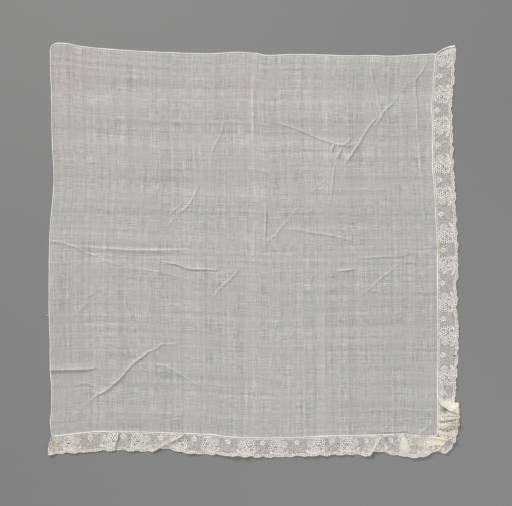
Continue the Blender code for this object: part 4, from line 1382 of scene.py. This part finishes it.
def cord(path, wide=CORD_WIDE, high=CORD_HIGH, joined=True):
    """A thick thread laid on the lace along a path: a low ridge with two sloping sides."""
    line = np.array(path, float)
    if joined:
        ahead = np.roll(line, -1, axis=0) - np.roll(line, 1, axis=0)
    else:
        ahead = np.gradient(line, axis=0)
    ahead /= np.linalg.norm(ahead, axis=1)[:, None]
    side = np.column_stack([-ahead[:, 1], ahead[:, 0]]) * wide / 2
    count = len(line)
    points = np.vstack([
        with_height(line - side, CLOTH_LIFT), with_height(line, CLOTH_LIFT + high),
        with_height(line + side, CLOTH_LIFT),
    ])
    last = count if joined else count - 1
    faces = [
        (band * count + k, band * count + (k + 1) % count,
         (band + 1) * count + (k + 1) % count, (band + 1) * count + k)
        for band in range(2) for k in range(last)
    ]
    return points, faces, 1.0


def curve(*knots):
    """A smooth open path through a few places of the chart."""
    return smooth_path(knots, ARC_STEP)


STEMS = [
    curve(LEAF_BASE, (24.0, 29.0), (14.0, 27.5), (6.0, 22.0), (0.4, 15.4)),
    curve(LEAF_BASE, (46.0, 30.5), (57.0, 28.5), (65.0, 22.5), (69.0, 15.4)),
]
VEINS = [
    curve(LEAF_BASE, (26.5, 27.0), (22.0, 24.0)), curve(LEAF_BASE, (29.5, 26.0), (28.0, 22.0)),
    curve(LEAF_BASE, (37.5, 26.0), (39.0, 22.0)), curve(LEAF_BASE, (40.5, 27.0), (45.0, 24.0)),
]
cords = [cord(line) for motif in MOTIFS[:-2] for line in (motif.outline, *motif.holes)]
for line in STEMS + VEINS:
    for way in (line, [(REPEAT - u, v) for u, v in line]):
        cords.append(cord(way, STEM_WIDE, STEM_HIGH, joined=False))
cords += [
    cord(border(edge), joined=False)
    for edge in (scallop_in, scallop_out, lambda u: FOOTING_WIDTH)
]
cord_repeat = flat_object("cord_repeat", cords)
print("cords:", len(cord_repeat.data.polygons), "faces")

# %% Picots
# A picot is a tiny loop of thread. A row of them finishes the outer edge.
PICOTS = 8 * SCALLOPS
LOOP_WIDE, LOOP_HIGH = 0.36, 0.2

loop_path = [(0.85 * cos(radians(a)), 0.95 * sin(radians(a))) for a in range(-10, 200, 21)]
loop = flat_object("loop", [cord(loop_path, LOOP_WIDE, LOOP_HIGH, joined=False)])
picot_us = [(k + 0.5) * REPEAT / PICOTS for k in range(PICOTS)]
picot_repeat = copies(
    "picot_repeat", loop, [(u, scallop_out(u) + 0.1, 0.0) for u in picot_us],
    turns=[0.08 * sin(k * 2.3) for k in range(PICOTS)],
)
remove(loop)
print("picots:", PICOTS, "in a repeat,", len(picot_repeat.data.polygons), "faces")


# %% [markdown]
# ## Rolled hems and whipping
#
# The muslin's raw edge is rolled between the fingers into a cord about 2 mm thick, and whipped over
# with fine thread. At the left and the top that is the hem. At the right and the bottom the same
# stitches catch the lace's straight edge as well. The roll shows as a bright line because it is solid,
# while the cloth beside it is sheer. A bevelled curve could be the roll, but its thickness has to
# vary as a hand-rolled hem's does, so it is built ring by ring.

# %% Once round the cloth
def edge_loop(step):
    """Points along the sheet's whole edge, once round from the bottom left corner, anticlockwise."""
    ways = [((0, 0), (1, 0)), ((1, 0), (1, 1)), ((1, 1), (0, 1)), ((0, 1), (0, 0))]
    sizes = [CLOTH_RIGHT - CLOTH_LEFT, CLOTH_TOP - CLOTH_LOW] * 2
    across, up = [], []
    for (start, end), size in zip(ways, sizes):
        t = np.arange(round(size / step)) / round(size / step)
        across.append(start[0] + (end[0] - start[0]) * t)
        up.append(start[1] + (end[1] - start[1]) * t)
    x, y = on_cloth(np.concatenate(across), np.concatenate(up))
    lift, _ = creases_at(x, y)
    return np.column_stack([x, y, SHEET_BASE + lift + swell_at(x, y)])


def loop_frame(line):
    """The way ahead and the way inwards at each point of a closed line."""
    ahead = np.roll(line, -1, axis=0) - np.roll(line, 1, axis=0)
    ahead[:, 2] = 0
    ahead /= np.linalg.norm(ahead, axis=1)[:, None]
    return ahead, np.column_stack([-ahead[:, 1], ahead[:, 0], np.zeros(len(line))])


print("points round the cloth, 3 mm apart:", len(edge_loop(3.0)))

# %% Skins of thread and of rolled cloth
ROLL_SIDES = 7


def tube(line, inwards, radius, joined):
    """The skin of a soft roll round a line: its points in metres, and its faces."""
    rings = []
    for k in range(ROLL_SIDES):
        angle = tau * k / ROLL_SIDES
        ring = line + inwards * (radius * cos(angle))[:, None]
        ring[:, 2] += radius * sin(angle)
        rings.append(ring)
    count = len(line)
    faces = []
    for i in range(count if joined else count - 1):
        j = (i + 1) % count
        for k in range(ROLL_SIDES):
            m = (k + 1) % ROLL_SIDES
            a, b = i * ROLL_SIDES, j * ROLL_SIDES
            faces.append((a + k, b + k, b + m, a + m))
    return np.stack(rings, axis=1).reshape(-1, 3) * MM, faces


def thread_piece(name, skins, material):
    """One smooth object from several skins of thread, each its points and its faces."""
    piece = flat_object(name, [(points, faces, 1.0) for points, faces in skins])
    piece.data.shade_smooth()
    piece.data.materials.append(material)
    return piece


print("a roll has", ROLL_SIDES, "sides")

# %% Material: rolled muslin and sewing cotton
# Several turns of the same cloth on each other let nothing through, and fine sewing cotton is as
# matt and as white, so the two share one finish.
COTTON_ROUGHNESS = 0.85
COTTON_SPECULAR = 0.2

rolled, tree, output = new_material("rolled muslin and sewing cotton")
shader = node(tree, "ShaderNodeBsdfPrincipled", {
    "Base Color": stained_and_shaded(tree, linear("#f7f6f1"), LACE_STAINS_AND_SHADE),
    "Roughness": COTTON_ROUGHNESS, "Specular IOR Level": COTTON_SPECULAR,
})
tree.links.new(shader.outputs[0], output.inputs[0])
print("rolled muslin:", len(tree.nodes), "nodes")

# %% The roll
ROLL_RADIUS = 1.0
ROLL_STEP = 3.0
ROLL_INWARDS = 0.4
ROLL_LIFT = 0.25

hem_line = edge_loop(ROLL_STEP)
_, hem_in = loop_frame(hem_line)
run = np.arange(len(hem_line)) * ROLL_STEP
sewn_to_lace = (hem_line[:, 0] > CLOTH_RIGHT - 20) | (hem_line[:, 1] < CLOTH_LOW + 20)
hem_radius = ROLL_RADIUS * (1 + 0.12 * np.sin(run / 7.1) + 0.1 * np.sin(run / 17.3 + 1.0))
hem_radius *= np.where(sewn_to_lace, 0.92 + 0.22 * np.sin(run / 41.0), 1.0)
hem_radius *= np.where(hem_line[:, 0] < CLOTH_LEFT + 10, 0.85, 1.0)
hem_line += hem_in * ROLL_INWARDS
hem_line[:, 2] += ROLL_LIFT
roll = thread_piece("muslin_rolled_edge", [tube(hem_line, hem_in, hem_radius, True)], rolled)
print("rolled edge:", round(2 * hem_radius.min(), 2), "to", round(2 * hem_radius.max(), 2), "mm thick")

# %% A loose end of the hem's thread
LOOSE_END = [(-407.5, -128.6), (-411.0, -128.4), (-414.0, -129.6), (-416.0, -130.4)]
loose_line = with_height(smooth_path(LOOSE_END, 1.0), 0.5)
loose_side = np.tile([0.0, 1.0, 0.0], (len(loose_line), 1))
loose_radius = np.full(len(loose_line), 0.4)
loose_thread = thread_piece("loose_thread", [tube(loose_line, loose_side, loose_radius, False)], rolled)
print("loose thread:", len(loose_line), "points")

# %% One whipping stitch
# It goes over the roll from side to side and a little forwards: a strip with a raised middle line.
STITCH_REACH = 1.25
STITCH_HIGH = 1.05
STITCH_HALF = 0.22

stitch_path = [
    (STITCH_REACH * cos(radians(a)), (90 - a) / 110, ROLL_LIFT + STITCH_HIGH * sin(radians(a)))
    for a in range(-20, 201, 22)
]
stitch_points, stitch_faces = [], []
for k, (x, y, z) in enumerate(stitch_path):
    stitch_points += [(x, y - STITCH_HALF, z), (x * 1.17, y, z * 1.15), (x, y + STITCH_HALF, z)]
    if k:
        first = 3 * (k - 1)
        stitch_faces += [(first, first + 1, first + 4, first + 3),
                         (first + 1, first + 2, first + 5, first + 4)]
stitch = flat_object("stitch", [(np.array(stitch_points) * MM, stitch_faces, 1.0)])
print("stitch:", len(stitch_faces), "faces")

# %% The whipping
STITCH_STEP = 2.7

stitch_line = edge_loop(STITCH_STEP)
stitch_ahead, stitch_in = loop_frame(stitch_line)
count = np.arange(len(stitch_line))
stitches = copies(
    "whip_stitches", stitch, (stitch_line + stitch_in * ROLL_INWARDS) * MM,
    turns=np.arctan2(stitch_ahead[:, 1], stitch_ahead[:, 0]) - pi / 2 + 0.15 * np.sin(count * 1.9),
    sizes=1 + 0.12 * np.sin(count * 2.7), material=rolled,
)
remove(stitch)
print("stitches:", len(stitch_line))


# %% [markdown]
# ## Laying the chart along the strip
#
# Every point of the chart is moved to its place on the strip. Its `u` picks the row between the two
# cut ends, its `v` how far it lies across that row, and its height is set off along the strip's own
# face, so the raised cords stay on the lace's right side even where the strip is folded over. A
# curve modifier would bend the chart too, but it knows nothing of tucks or of a fan.

# %% Pattern length of every row
flower_runs = [run_at(row) for row in FLOWERS]
flower_us = [row.count * HALF_REPEAT for row in FLOWERS]


def pattern_at(run):
    """The chart's u at a length along the strip, eased between the flowers."""
    inner = np.interp(run, flower_runs, flower_us)
    before = np.minimum(run - flower_runs[0], 0.0)
    after = np.maximum(run - flower_runs[-1], 0.0)
    return inner + before + after


SEAM_U, EDGE_U = pattern_at(SEAM_RUN), pattern_at(EDGE_RUN)
print("chart from u =", round(SEAM_U[0], 1), "to", round(SEAM_U[-1], 1), "mm")


# %% Creases of the lace
# They run across the tucks and the gathers, and their flanks are straighter than the muslin's.
LACE_POWER = 1.1
LACE_CREASE_REACH = 60.0
LACE_CREASES = [
    Crease("left_pleat", 4.0, 0.2, 0.8, 1.2, 0.8, [(-271, -372), (-276, -386), (-278, -398)]),
    Crease("slanted_crest", 6.0, 0.55, 1.4, 3.2, 1.6, [(-200, -399), (-168, -383), (-136, -368)]),
    Crease("long_crest", 6.0, 0.55, 1.6, 3.6, 2.2, [
        (232, -411), (247, -390), (258, -373), (272, -371)]),
    Crease("between_crest", 4.0, 0.0, 1.0, 2.6, 1.0, [(321, -377), (330, -392), (340, -406)]),
    Crease("folded_edge", 5.0, 0.4, 1.8, 3.2, 2.6, [
        (334, -372), (347, -372), (362, -374), (374, -376.5), (389, -380), (402, -382.5)]),
    Crease("flap_edge", 5.0, -0.4, 2.0, 4.8, 3.4, [(372, -304.5), (384, -315.5), (397, -322)]),
    Crease("flap_fall", 7.0, -0.3, 0.8, 1.6, 1.4, [(390, -325), (400, -316), (411, -308)]),
    Crease("under_flap", 5.0, -0.6, 2.6, 4.4, 3.2, [(376, -331), (390, -330), (403, -330)]),
    Crease("gather_high", 5.4, -0.7, 3.6, 6.2, 4.8, [(370, -340), (388, -338.5), (405, -336)]),
    Crease("gather_thin", 3.6, 0.5, 1.8, 5.4, 5.8, [(382, -345.5), (394, -343.5), (405, -342.5)]),
    Crease("gather_main", 5.8, -0.7, 4.2, 6.9, 4.2, [
        (369, -355.5), (381, -355), (392, -350), (406, -349)]),
    Crease("gather_low", 4.5, -0.5, 1.6, 3.0, 1.8, [(374, -366), (385, -368.5), (396, -372.5)]),
    Crease("fan_edge", 4.0, 0.4, 2.2, 4.2, 2.4, [
        (367, -371), (379, -374), (395, -377.5), (402, -381)]),
    Crease("fan_tip", 4.0, 0.2, 0.8, 2.4, 0.8, [(376, -402), (382, -392), (391, -384)]),
]


def lace_lift(points):
    """Raise points of the lace, in millimetres, by the creases across it."""
    for crease in LACE_CREASES:
        near = np.hypot(*(points[:, :2] - np.mean(crease.path, axis=0)).T) < LACE_CREASE_REACH
        lift, _ = crease_height(crease, points[near, 0], points[near, 1], LACE_POWER)
        points[near, 2] += lift
    return points


print("lace creases:", len(LACE_CREASES))

# %% From the chart to the strip
HALVINGS = 24


def across_row(i, t):
    """Points on rows i, part of the way t from the seam to the outer edge, in millimetres."""
    line = (EDGE[i] - SEAM[i])[:, :2]
    line /= np.linalg.norm(line, axis=1)[:, None]
    share = t[:, None]
    point = SEAM[i] + (EDGE[i] - SEAM[i]) * share
    point[:, 2] = SEAM[i][:, 2] + (EDGE[i] - SEAM[i])[:, 2] * t * t
    bend = 4 * t * (1 - t) * BOW[i]
    point[:, 0] += line[:, 1] * bend
    point[:, 1] -= line[:, 0] * bend
    return point


def on_rows(i, part, t, height):
    """Points between rows i and i + 1, part of the way along, t of the way across, and raised."""
    first, second = across_row(i, t), across_row(i + 1, t)
    face = np.cross(EDGE[i] - SEAM[i], second - first)
    face /= np.maximum(np.linalg.norm(face, axis=1), 1e-9)[:, None]
    part = part[:, None]
    return lace_lift(first * (1 - part) + second * part + face * height[:, None])


def on_strip(chart):
    """Where points of the chart (u, v and height) come to lie, in millimetres.

    The row of each point is found by halving: its place lies between two rows, and the middle one
    tells in which half.
    """
    u, t = chart[:, 0], chart[:, 1] / LACE_WIDTH
    held = np.clip(t, 0, 1)
    low, high = np.zeros(len(u)), np.full(len(u), len(ROWS) - 1.0)
    for _ in range(HALVINGS):
        middle = (low + high) / 2
        i = np.minimum(middle.astype(int), len(ROWS) - 2)
        part = middle - i
        seam_u = SEAM_U[i] * (1 - part) + SEAM_U[i + 1] * part
        edge_u = EDGE_U[i] * (1 - part) + EDGE_U[i + 1] * part
        short = seam_u * (1 - held) + edge_u * held < u
        low, high = np.where(short, middle, low), np.where(short, high, middle)
    i = np.minimum(low.astype(int), len(ROWS) - 2)
    return on_rows(i, low - i, t, chart[:, 2])


start_place, end_place = on_strip(np.array([[SEAM_U[0], 0.0, 0.0], [SEAM_U[-1], 0.0, 0.0]]))
print("the seam runs from", start_place.round(1), "to", end_place.round(1))

# %% A map for the unfolded lace
MAP_COLUMNS = 2
MAP_ROWS = 8
MAP_SHARE = 0.94
MAP_MARGIN = 0.03
PICOT_ROOM = 3.0
FIRST_REPEAT = int(SEAM_U[0] // REPEAT)
REPEATS = int(SEAM_U[-1] // REPEAT) - FIRST_REPEAT + 1


def add_lace_map(mesh, chart, faces):
    """Unfold the lace for its map: each repeat lies in its own place, two side by side."""
    picked = np.array([int(chart[face, 0].mean() // REPEAT) - FIRST_REPEAT for face in faces])
    cell = np.repeat(picked, [len(face) for face in faces])
    point = chart[np.concatenate(faces)]
    within_u = (point[:, 0] / REPEAT - FIRST_REPEAT - cell) * MAP_SHARE + MAP_MARGIN
    within_v = point[:, 1] / (LACE_WIDTH + PICOT_ROOM) * MAP_SHARE + MAP_MARGIN
    unfolded = np.column_stack([
        (cell % MAP_COLUMNS + within_u) / MAP_COLUMNS, (cell // MAP_COLUMNS + within_v) / MAP_ROWS,
    ])
    mesh.uv_layers.new(name="OFBake").uv.foreach_set("vector", unfolded.astype(np.float32).ravel())


print("repeats along the strip:", REPEATS)

# %% Laying one part of the lace
# The net is torn at one place on the right, so whatever touches that hole is left out.
Hole = namedtuple("Hole", "x y radius")
HOLE = Hole(401.0, -210.7, 2.9)


def whole_mesh(mesh):
    """A mesh's points and faces as arrays."""
    points = np.empty(len(mesh.vertices) * 3)
    mesh.vertices.foreach_get("co", points)
    loops = np.empty(len(mesh.loops), int)
    mesh.loops.foreach_get("vertex_index", loops)
    starts = np.empty(len(mesh.polygons), int)
    mesh.polygons.foreach_get("loop_start", starts)
    return points.reshape(-1, 3), np.split(loops, starts[1:])


def renumbered(count, used):
    """The new number of each point, when only the used ones stay."""
    numbers = np.zeros(count, int)
    numbers[used] = np.arange(len(used))
    return numbers


def chart_values(mesh, chart):
    """Store where each point lies in the chart, for the materials to read."""
    stored = mesh.attributes.new("chart", "FLOAT_VECTOR", "POINT")
    stored.data.foreach_set("vector", chart.astype(np.float32).ravel())


def lay_along(name, repeat, material):
    """Copy one repeat along the strip, cut it at both ends, and lay it on the strip's rows."""
    places = [((FIRST_REPEAT + k) * REPEAT, 0.0, 0.0) for k in range(REPEATS)]
    laid = copies(name, repeat, places, join=0.01, material=material)
    mesh = laid.data
    chart, faces = whole_mesh(mesh)
    laid_points = on_strip(chart)
    kept = (chart[:, 0] > SEAM_U[0]) & (chart[:, 0] < SEAM_U[-1])
    kept &= np.hypot(laid_points[:, 0] - HOLE.x, laid_points[:, 1] - HOLE.y) >= HOLE.radius
    faces = [face for face in faces if kept[face].all()]
    used = np.unique(np.concatenate(faces))
    numbers = renumbered(len(chart), used)
    faces = [numbers[face] for face in faces]
    dense = np.empty(len(chart), np.float32)
    mesh.attributes["dense"].data.foreach_get("value", dense)
    final = bpy.data.meshes.new(name)
    final.from_pydata(laid_points[used] * MM, [], faces)
    point_values(final, "dense", dense[used])
    chart_values(final, chart[used])
    add_lace_map(final, chart[used], faces)
    final.shade_smooth()
    final.materials.append(material)
    laid.data = final
    bpy.data.meshes.remove(mesh)
    return laid


print("hole:", 2 * HOLE.radius, "mm across")


# %% [markdown]
# ## Old cotton
#
# The lace is fine cotton thread, worked by hand and washed for many years, so it is matt and a warm,
# faintly pink white. The net is fuller in some places than in others. In the solid parts the threads
# lie close, with small gaps between them that are too fine to model, so these are left to the
# material: waves along and across the strip, 2.6 mm apart, which is as coarse as they need to show.

# %% Material: fine cotton lace thread
CLOUDS_A_METRE = 260.0


def lace_colour(tree):
    """Old cotton: a warm, faintly pink white, a little greyer here and there."""
    here = node(tree, "ShaderNodeTexCoord").outputs["Object"]
    cloud = node(tree, "ShaderNodeTexNoise", {
        "Vector": here, "Scale": CLOUDS_A_METRE, "Detail": 2.0,
    }).outputs[0]
    spread = node(tree, "ShaderNodeMapRange", {
        "Value": cloud, "From Min": 0.3, "From Max": 0.7,
    }).outputs[0]
    mixed = node(tree, "ShaderNodeMix", {
        "Factor": spread, "A": linear("#dcd8d2"), "B": linear("#f5f1eb"),
    }, data_type="RGBA").outputs["Result"]
    return stained_and_shaded(tree, mixed, LACE_STAINS_AND_SHADE)


def lace_material(name, filled=None):
    """A material of old cotton. `filled` adds the nodes that say how much of a place it fills."""
    material, tree, output = new_material(name)
    shader = node(tree, "ShaderNodeBsdfPrincipled", {
        "Base Color": lace_colour(tree), "Roughness": COTTON_ROUGHNESS,
        "Specular IOR Level": COTTON_SPECULAR, "Alpha": filled(tree) if filled else 1.0,
    })
    tree.links.new(shader.outputs[0], output.inputs[0])
    print(name + ":", len(tree.nodes), "nodes")
    return material


thread = lace_material("fine cotton lace thread")

# %% Material: net of fine cotton
# Its thick and thin places are about 5 mm apart.
GRAIN = 4.6


def uneven_thread(tree, low, high):
    """How much of a place its threads fill: old net has thick, thin and broken threads."""
    place = node(tree, "ShaderNodeAttribute", attribute_name="chart").outputs["Vector"]
    noise = node(tree, "ShaderNodeTexNoise", {
        "Vector": place, "Scale": 1 / GRAIN, "Detail": 1.0,
    }, noise_dimensions="2D").outputs[0]
    return node(tree, "ShaderNodeMapRange", {
        "Value": noise, "From Min": 0.3, "From Max": 0.7, "To Min": low, "To Max": high,
    }).outputs[0]


netted = lace_material("net of fine cotton", lambda tree: uneven_thread(tree, 0.6, 1.0))

# %% Material: cloth stitch of fine cotton
STITCH_PITCH = 2.6
GAP_DEPTH = 0.48


def close_stitches(tree):
    """How much of a place cloth stitch fills: its own share, less in the gaps between threads."""
    chart_place = node(tree, "ShaderNodeAttribute", attribute_name="chart").outputs["Vector"]
    dense = node(tree, "ShaderNodeAttribute", attribute_name="dense").outputs["Fac"]
    turned = node(tree, "ShaderNodeVectorMath", {
        0: chart_place, 1: (tau / STITCH_PITCH, tau / STITCH_PITCH, 0.0),
    }, operation="MULTIPLY").outputs[0]
    split = node(tree, "ShaderNodeSeparateXYZ", {0: turned}).outputs
    waves = [node(tree, "ShaderNodeMath", {0: split[k]}, operation="SINE").outputs[0] for k in (0, 1)]
    gaps = node(tree, "ShaderNodeMath", {0: waves[0], 1: waves[1]}, operation="MULTIPLY").outputs[0]
    with_gaps = node(tree, "ShaderNodeMath", {0: gaps, 1: GAP_DEPTH, 2: dense},
                     operation="MULTIPLY_ADD").outputs[0]
    return node(tree, "ShaderNodeMath", {0: with_gaps, 1: uneven_thread(tree, -0.2, 0.2)},
                operation="ADD", use_clamp=True).outputs[0]


stitched = lace_material("cloth stitch of fine cotton", close_stitches)

# %% Lay the five parts of the lace
lace_cloth = lay_along("lace_cloth_stitch", cloth_repeat, stitched)
lace_net = lay_along("lace_net", net_repeat, netted)
lace_open_net = lay_along("lace_open_net", open_repeat, thread)
lace_cords = lay_along("lace_cords", cord_repeat, thread)
lace_picots = lay_along("lace_picots", picot_repeat, thread)
remove(cloth_repeat, net_repeat, open_repeat, cord_repeat, picot_repeat)
print("laid:", [piece.name for piece in (lace_cloth, lace_net, lace_open_net, lace_cords, lace_picots)])


# %% [markdown]
# ## Layers on layers
#
# Where the strip is tucked or gathered, two to four layers of net lie on each other, and the eye sees
# one close cream cloth instead of a net. Four whole nets would cost many triangles, so the lower
# layers are one sheet on the same rows, just under the lace. A table says how much of its place the
# sheet fills, how far across the strip it reaches, and above what height of the seam it starts, which
# picks out the upper layer of a fold. Where a fold is pressed tight, the share is over one: solid.

# %% Where the lower layers lie
Layers = namedtuple("Layers", "side start end above share reach", defaults=(1.0,))
LAYERS = [
    Layers("low", -404, -388, 0.0, 0.4),
    Layers("low", -205, -133, 0.0, 0.25),
    Layers("low", 226, 262, 0.0, 0.3),
    Layers("low", 253.5, 258.5, 2.2, 1.3),
    Layers("low", 276, 303, 0.0, 0.12),
    Layers("low", 295, 301, 2.9, 1.3),
    Layers("low", 303.5, 340, 0.0, 0.36),
    Layers("low", 340, 392, 0.0, 1.3, 0.55),
    Layers("right", -375, -356, 0.0, 0.15),
    Layers("right", -356, -320, 0.0, 0.5),
    Layers("right", -306, -298, 1.2, 1.3),
    Layers("right", -297, -262, 0.0, 0.6, 0.3),
    Layers("right", 386, 394, 0.0, 0.5),
]


def layers_at_rows():
    """For each row of the strip, how close the lower layers are and how far across they reach."""
    shares, reaches = np.zeros(len(ROWS)), np.ones(len(ROWS))
    past_corner = np.arange(len(ROWS)) > np.argmax(SEAM[:, 0]) + TURN_STEPS // 2
    for row in LAYERS:
        on_side = past_corner if row.side == "right" else ~past_corner
        along = SEAM[:, 1] if row.side == "right" else SEAM[:, 0]
        here = on_side & (along >= row.start) & (along <= row.end) & (SEAM[:, 2] >= row.above)
        shares[here], reaches[here] = row.share, row.reach
    return shares, reaches


close_share, close_reach = layers_at_rows()
print("rows with lower layers:", int((close_share > 0).sum()), "of", len(ROWS))

# %% The lower layers as one sheet
LAYER_DROP = 0.3
LAYER_ACROSS = 26
LAYER_PARTS = 4
LAYER_END = 0.97
LEAST_SHARE = 0.02

layer_rows = np.arange((len(ROWS) - 1) * LAYER_PARTS) / LAYER_PARTS
row_before = np.minimum(layer_rows.astype(int), len(ROWS) - 2)
i = np.repeat(row_before, LAYER_ACROSS)
part = np.repeat(layer_rows - row_before, LAYER_ACROSS)
t = np.tile(np.linspace(0.0, LAYER_END, LAYER_ACROSS), len(layer_rows))
layer_points = on_rows(i, part, t, np.full(len(t), -LAYER_DROP))
layer_share = close_share[i] * (t <= close_reach[i])
layer_faces = [
    (k, k + 1, k + 1 + LAYER_ACROSS, k + LAYER_ACROSS)
    for k in range(len(layer_points) - LAYER_ACROSS)
    if (k + 1) % LAYER_ACROSS and min(layer_share[k], layer_share[k + LAYER_ACROSS]) > LEAST_SHARE
]
layer_u = SEAM_U[i] * (1 - t) + EDGE_U[i] * t + part * (SEAM_U[i + 1] - SEAM_U[i])
layer_chart = with_height(np.column_stack([layer_u, t * LACE_WIDTH]), 0.0)
used = np.unique(layer_faces)
faces = renumbered(len(layer_points), used)[layer_faces].tolist()
lace_layers = flat_object("lace_layers", [(layer_points[used] * MM, faces, 1.0)])
lace_layers.data.attributes["dense"].data.foreach_set("value", layer_share[used])
chart_values(lace_layers.data, layer_chart[used])
lace_layers.data.shade_smooth()
lace_layers.data.materials.append(stitched)
print("lower layers:", len(faces), "faces")


# %% [markdown]
# ## The cut ends and the hole
#
# Cut net frays, so both ends of the strip are turned in and whipped into a narrow roll. The one hole
# in the net has drawn its threads together round its rim. All three are rolls, made as the hem is.

# %% The strip's two cut ends and its hole
END_POINTS = 16
END_LIFT = 0.5
END_RADIUS = 1.1
RIM_POINTS = 14
RIM_LIFT = 1.4
RIM_RADIUS = 0.65

CutEnd = namedtuple("CutEnd", "row way at_seam at_edge least")
CUT_ENDS = [CutEnd(0, 1.0, -0.3, -0.1, -0.3), CutEnd(len(ROWS) - 1, -1.0, -0.4, 0.9, 0.0)]


def cut_end_skin(end):
    """The roll along one cut end, thicker where more net is turned in."""
    places = np.linspace(0.02, 0.99, END_POINTS)
    line = across_row(np.full(END_POINTS, end.row), places)
    thicker = np.maximum(np.linspace(end.at_seam, end.at_edge, END_POINTS), end.least)
    line[:, 2] += END_LIFT
    line[:, 2] += thicker
    ahead = np.gradient(line, axis=0)
    ahead[:, 2] = 0
    ahead /= np.linalg.norm(ahead, axis=1)[:, None]
    across = np.column_stack([-ahead[:, 1], ahead[:, 0], np.zeros(END_POINTS)]) * end.way
    return tube(line, across, END_RADIUS + thicker + 0.2 * np.sin(np.arange(END_POINTS) * 1.3), False)


def rim_skin(hole):
    """The thickened rim of a hole."""
    angles = np.arange(RIM_POINTS) * tau / RIM_POINTS
    rim = np.column_stack([
        hole.x + 1.2 * hole.radius * np.cos(angles), hole.y + 1.1 * hole.radius * np.sin(angles),
        np.full(RIM_POINTS, RIM_LIFT),
    ])
    outwards = np.column_stack([np.cos(angles), np.sin(angles), np.zeros(RIM_POINTS)])
    return tube(rim, outwards, RIM_RADIUS + 0.1 * np.sin(angles * 3), True)


lace_ends = thread_piece("lace_ends", [*(cut_end_skin(end) for end in CUT_ENDS), rim_skin(HOLE)], thread)
LACE = [lace_cloth, lace_net, lace_open_net, lace_cords, lace_picots, lace_layers, lace_ends]
for piece in LACE:
    print(piece.name, sum(len(face.vertices) - 2 for face in piece.data.polygons), "triangles")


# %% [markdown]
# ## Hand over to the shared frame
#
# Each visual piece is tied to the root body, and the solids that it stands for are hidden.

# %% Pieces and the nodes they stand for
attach(muslin, "root")
for piece in (roll, stitches, loose_thread):
    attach(piece, "root")
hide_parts("muslin_square")
for piece in LACE:
    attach(piece, "root")
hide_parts("lace_edging")
print("pieces handed over:", 1 + len((roll, stitches, loose_thread)) + len(LACE))
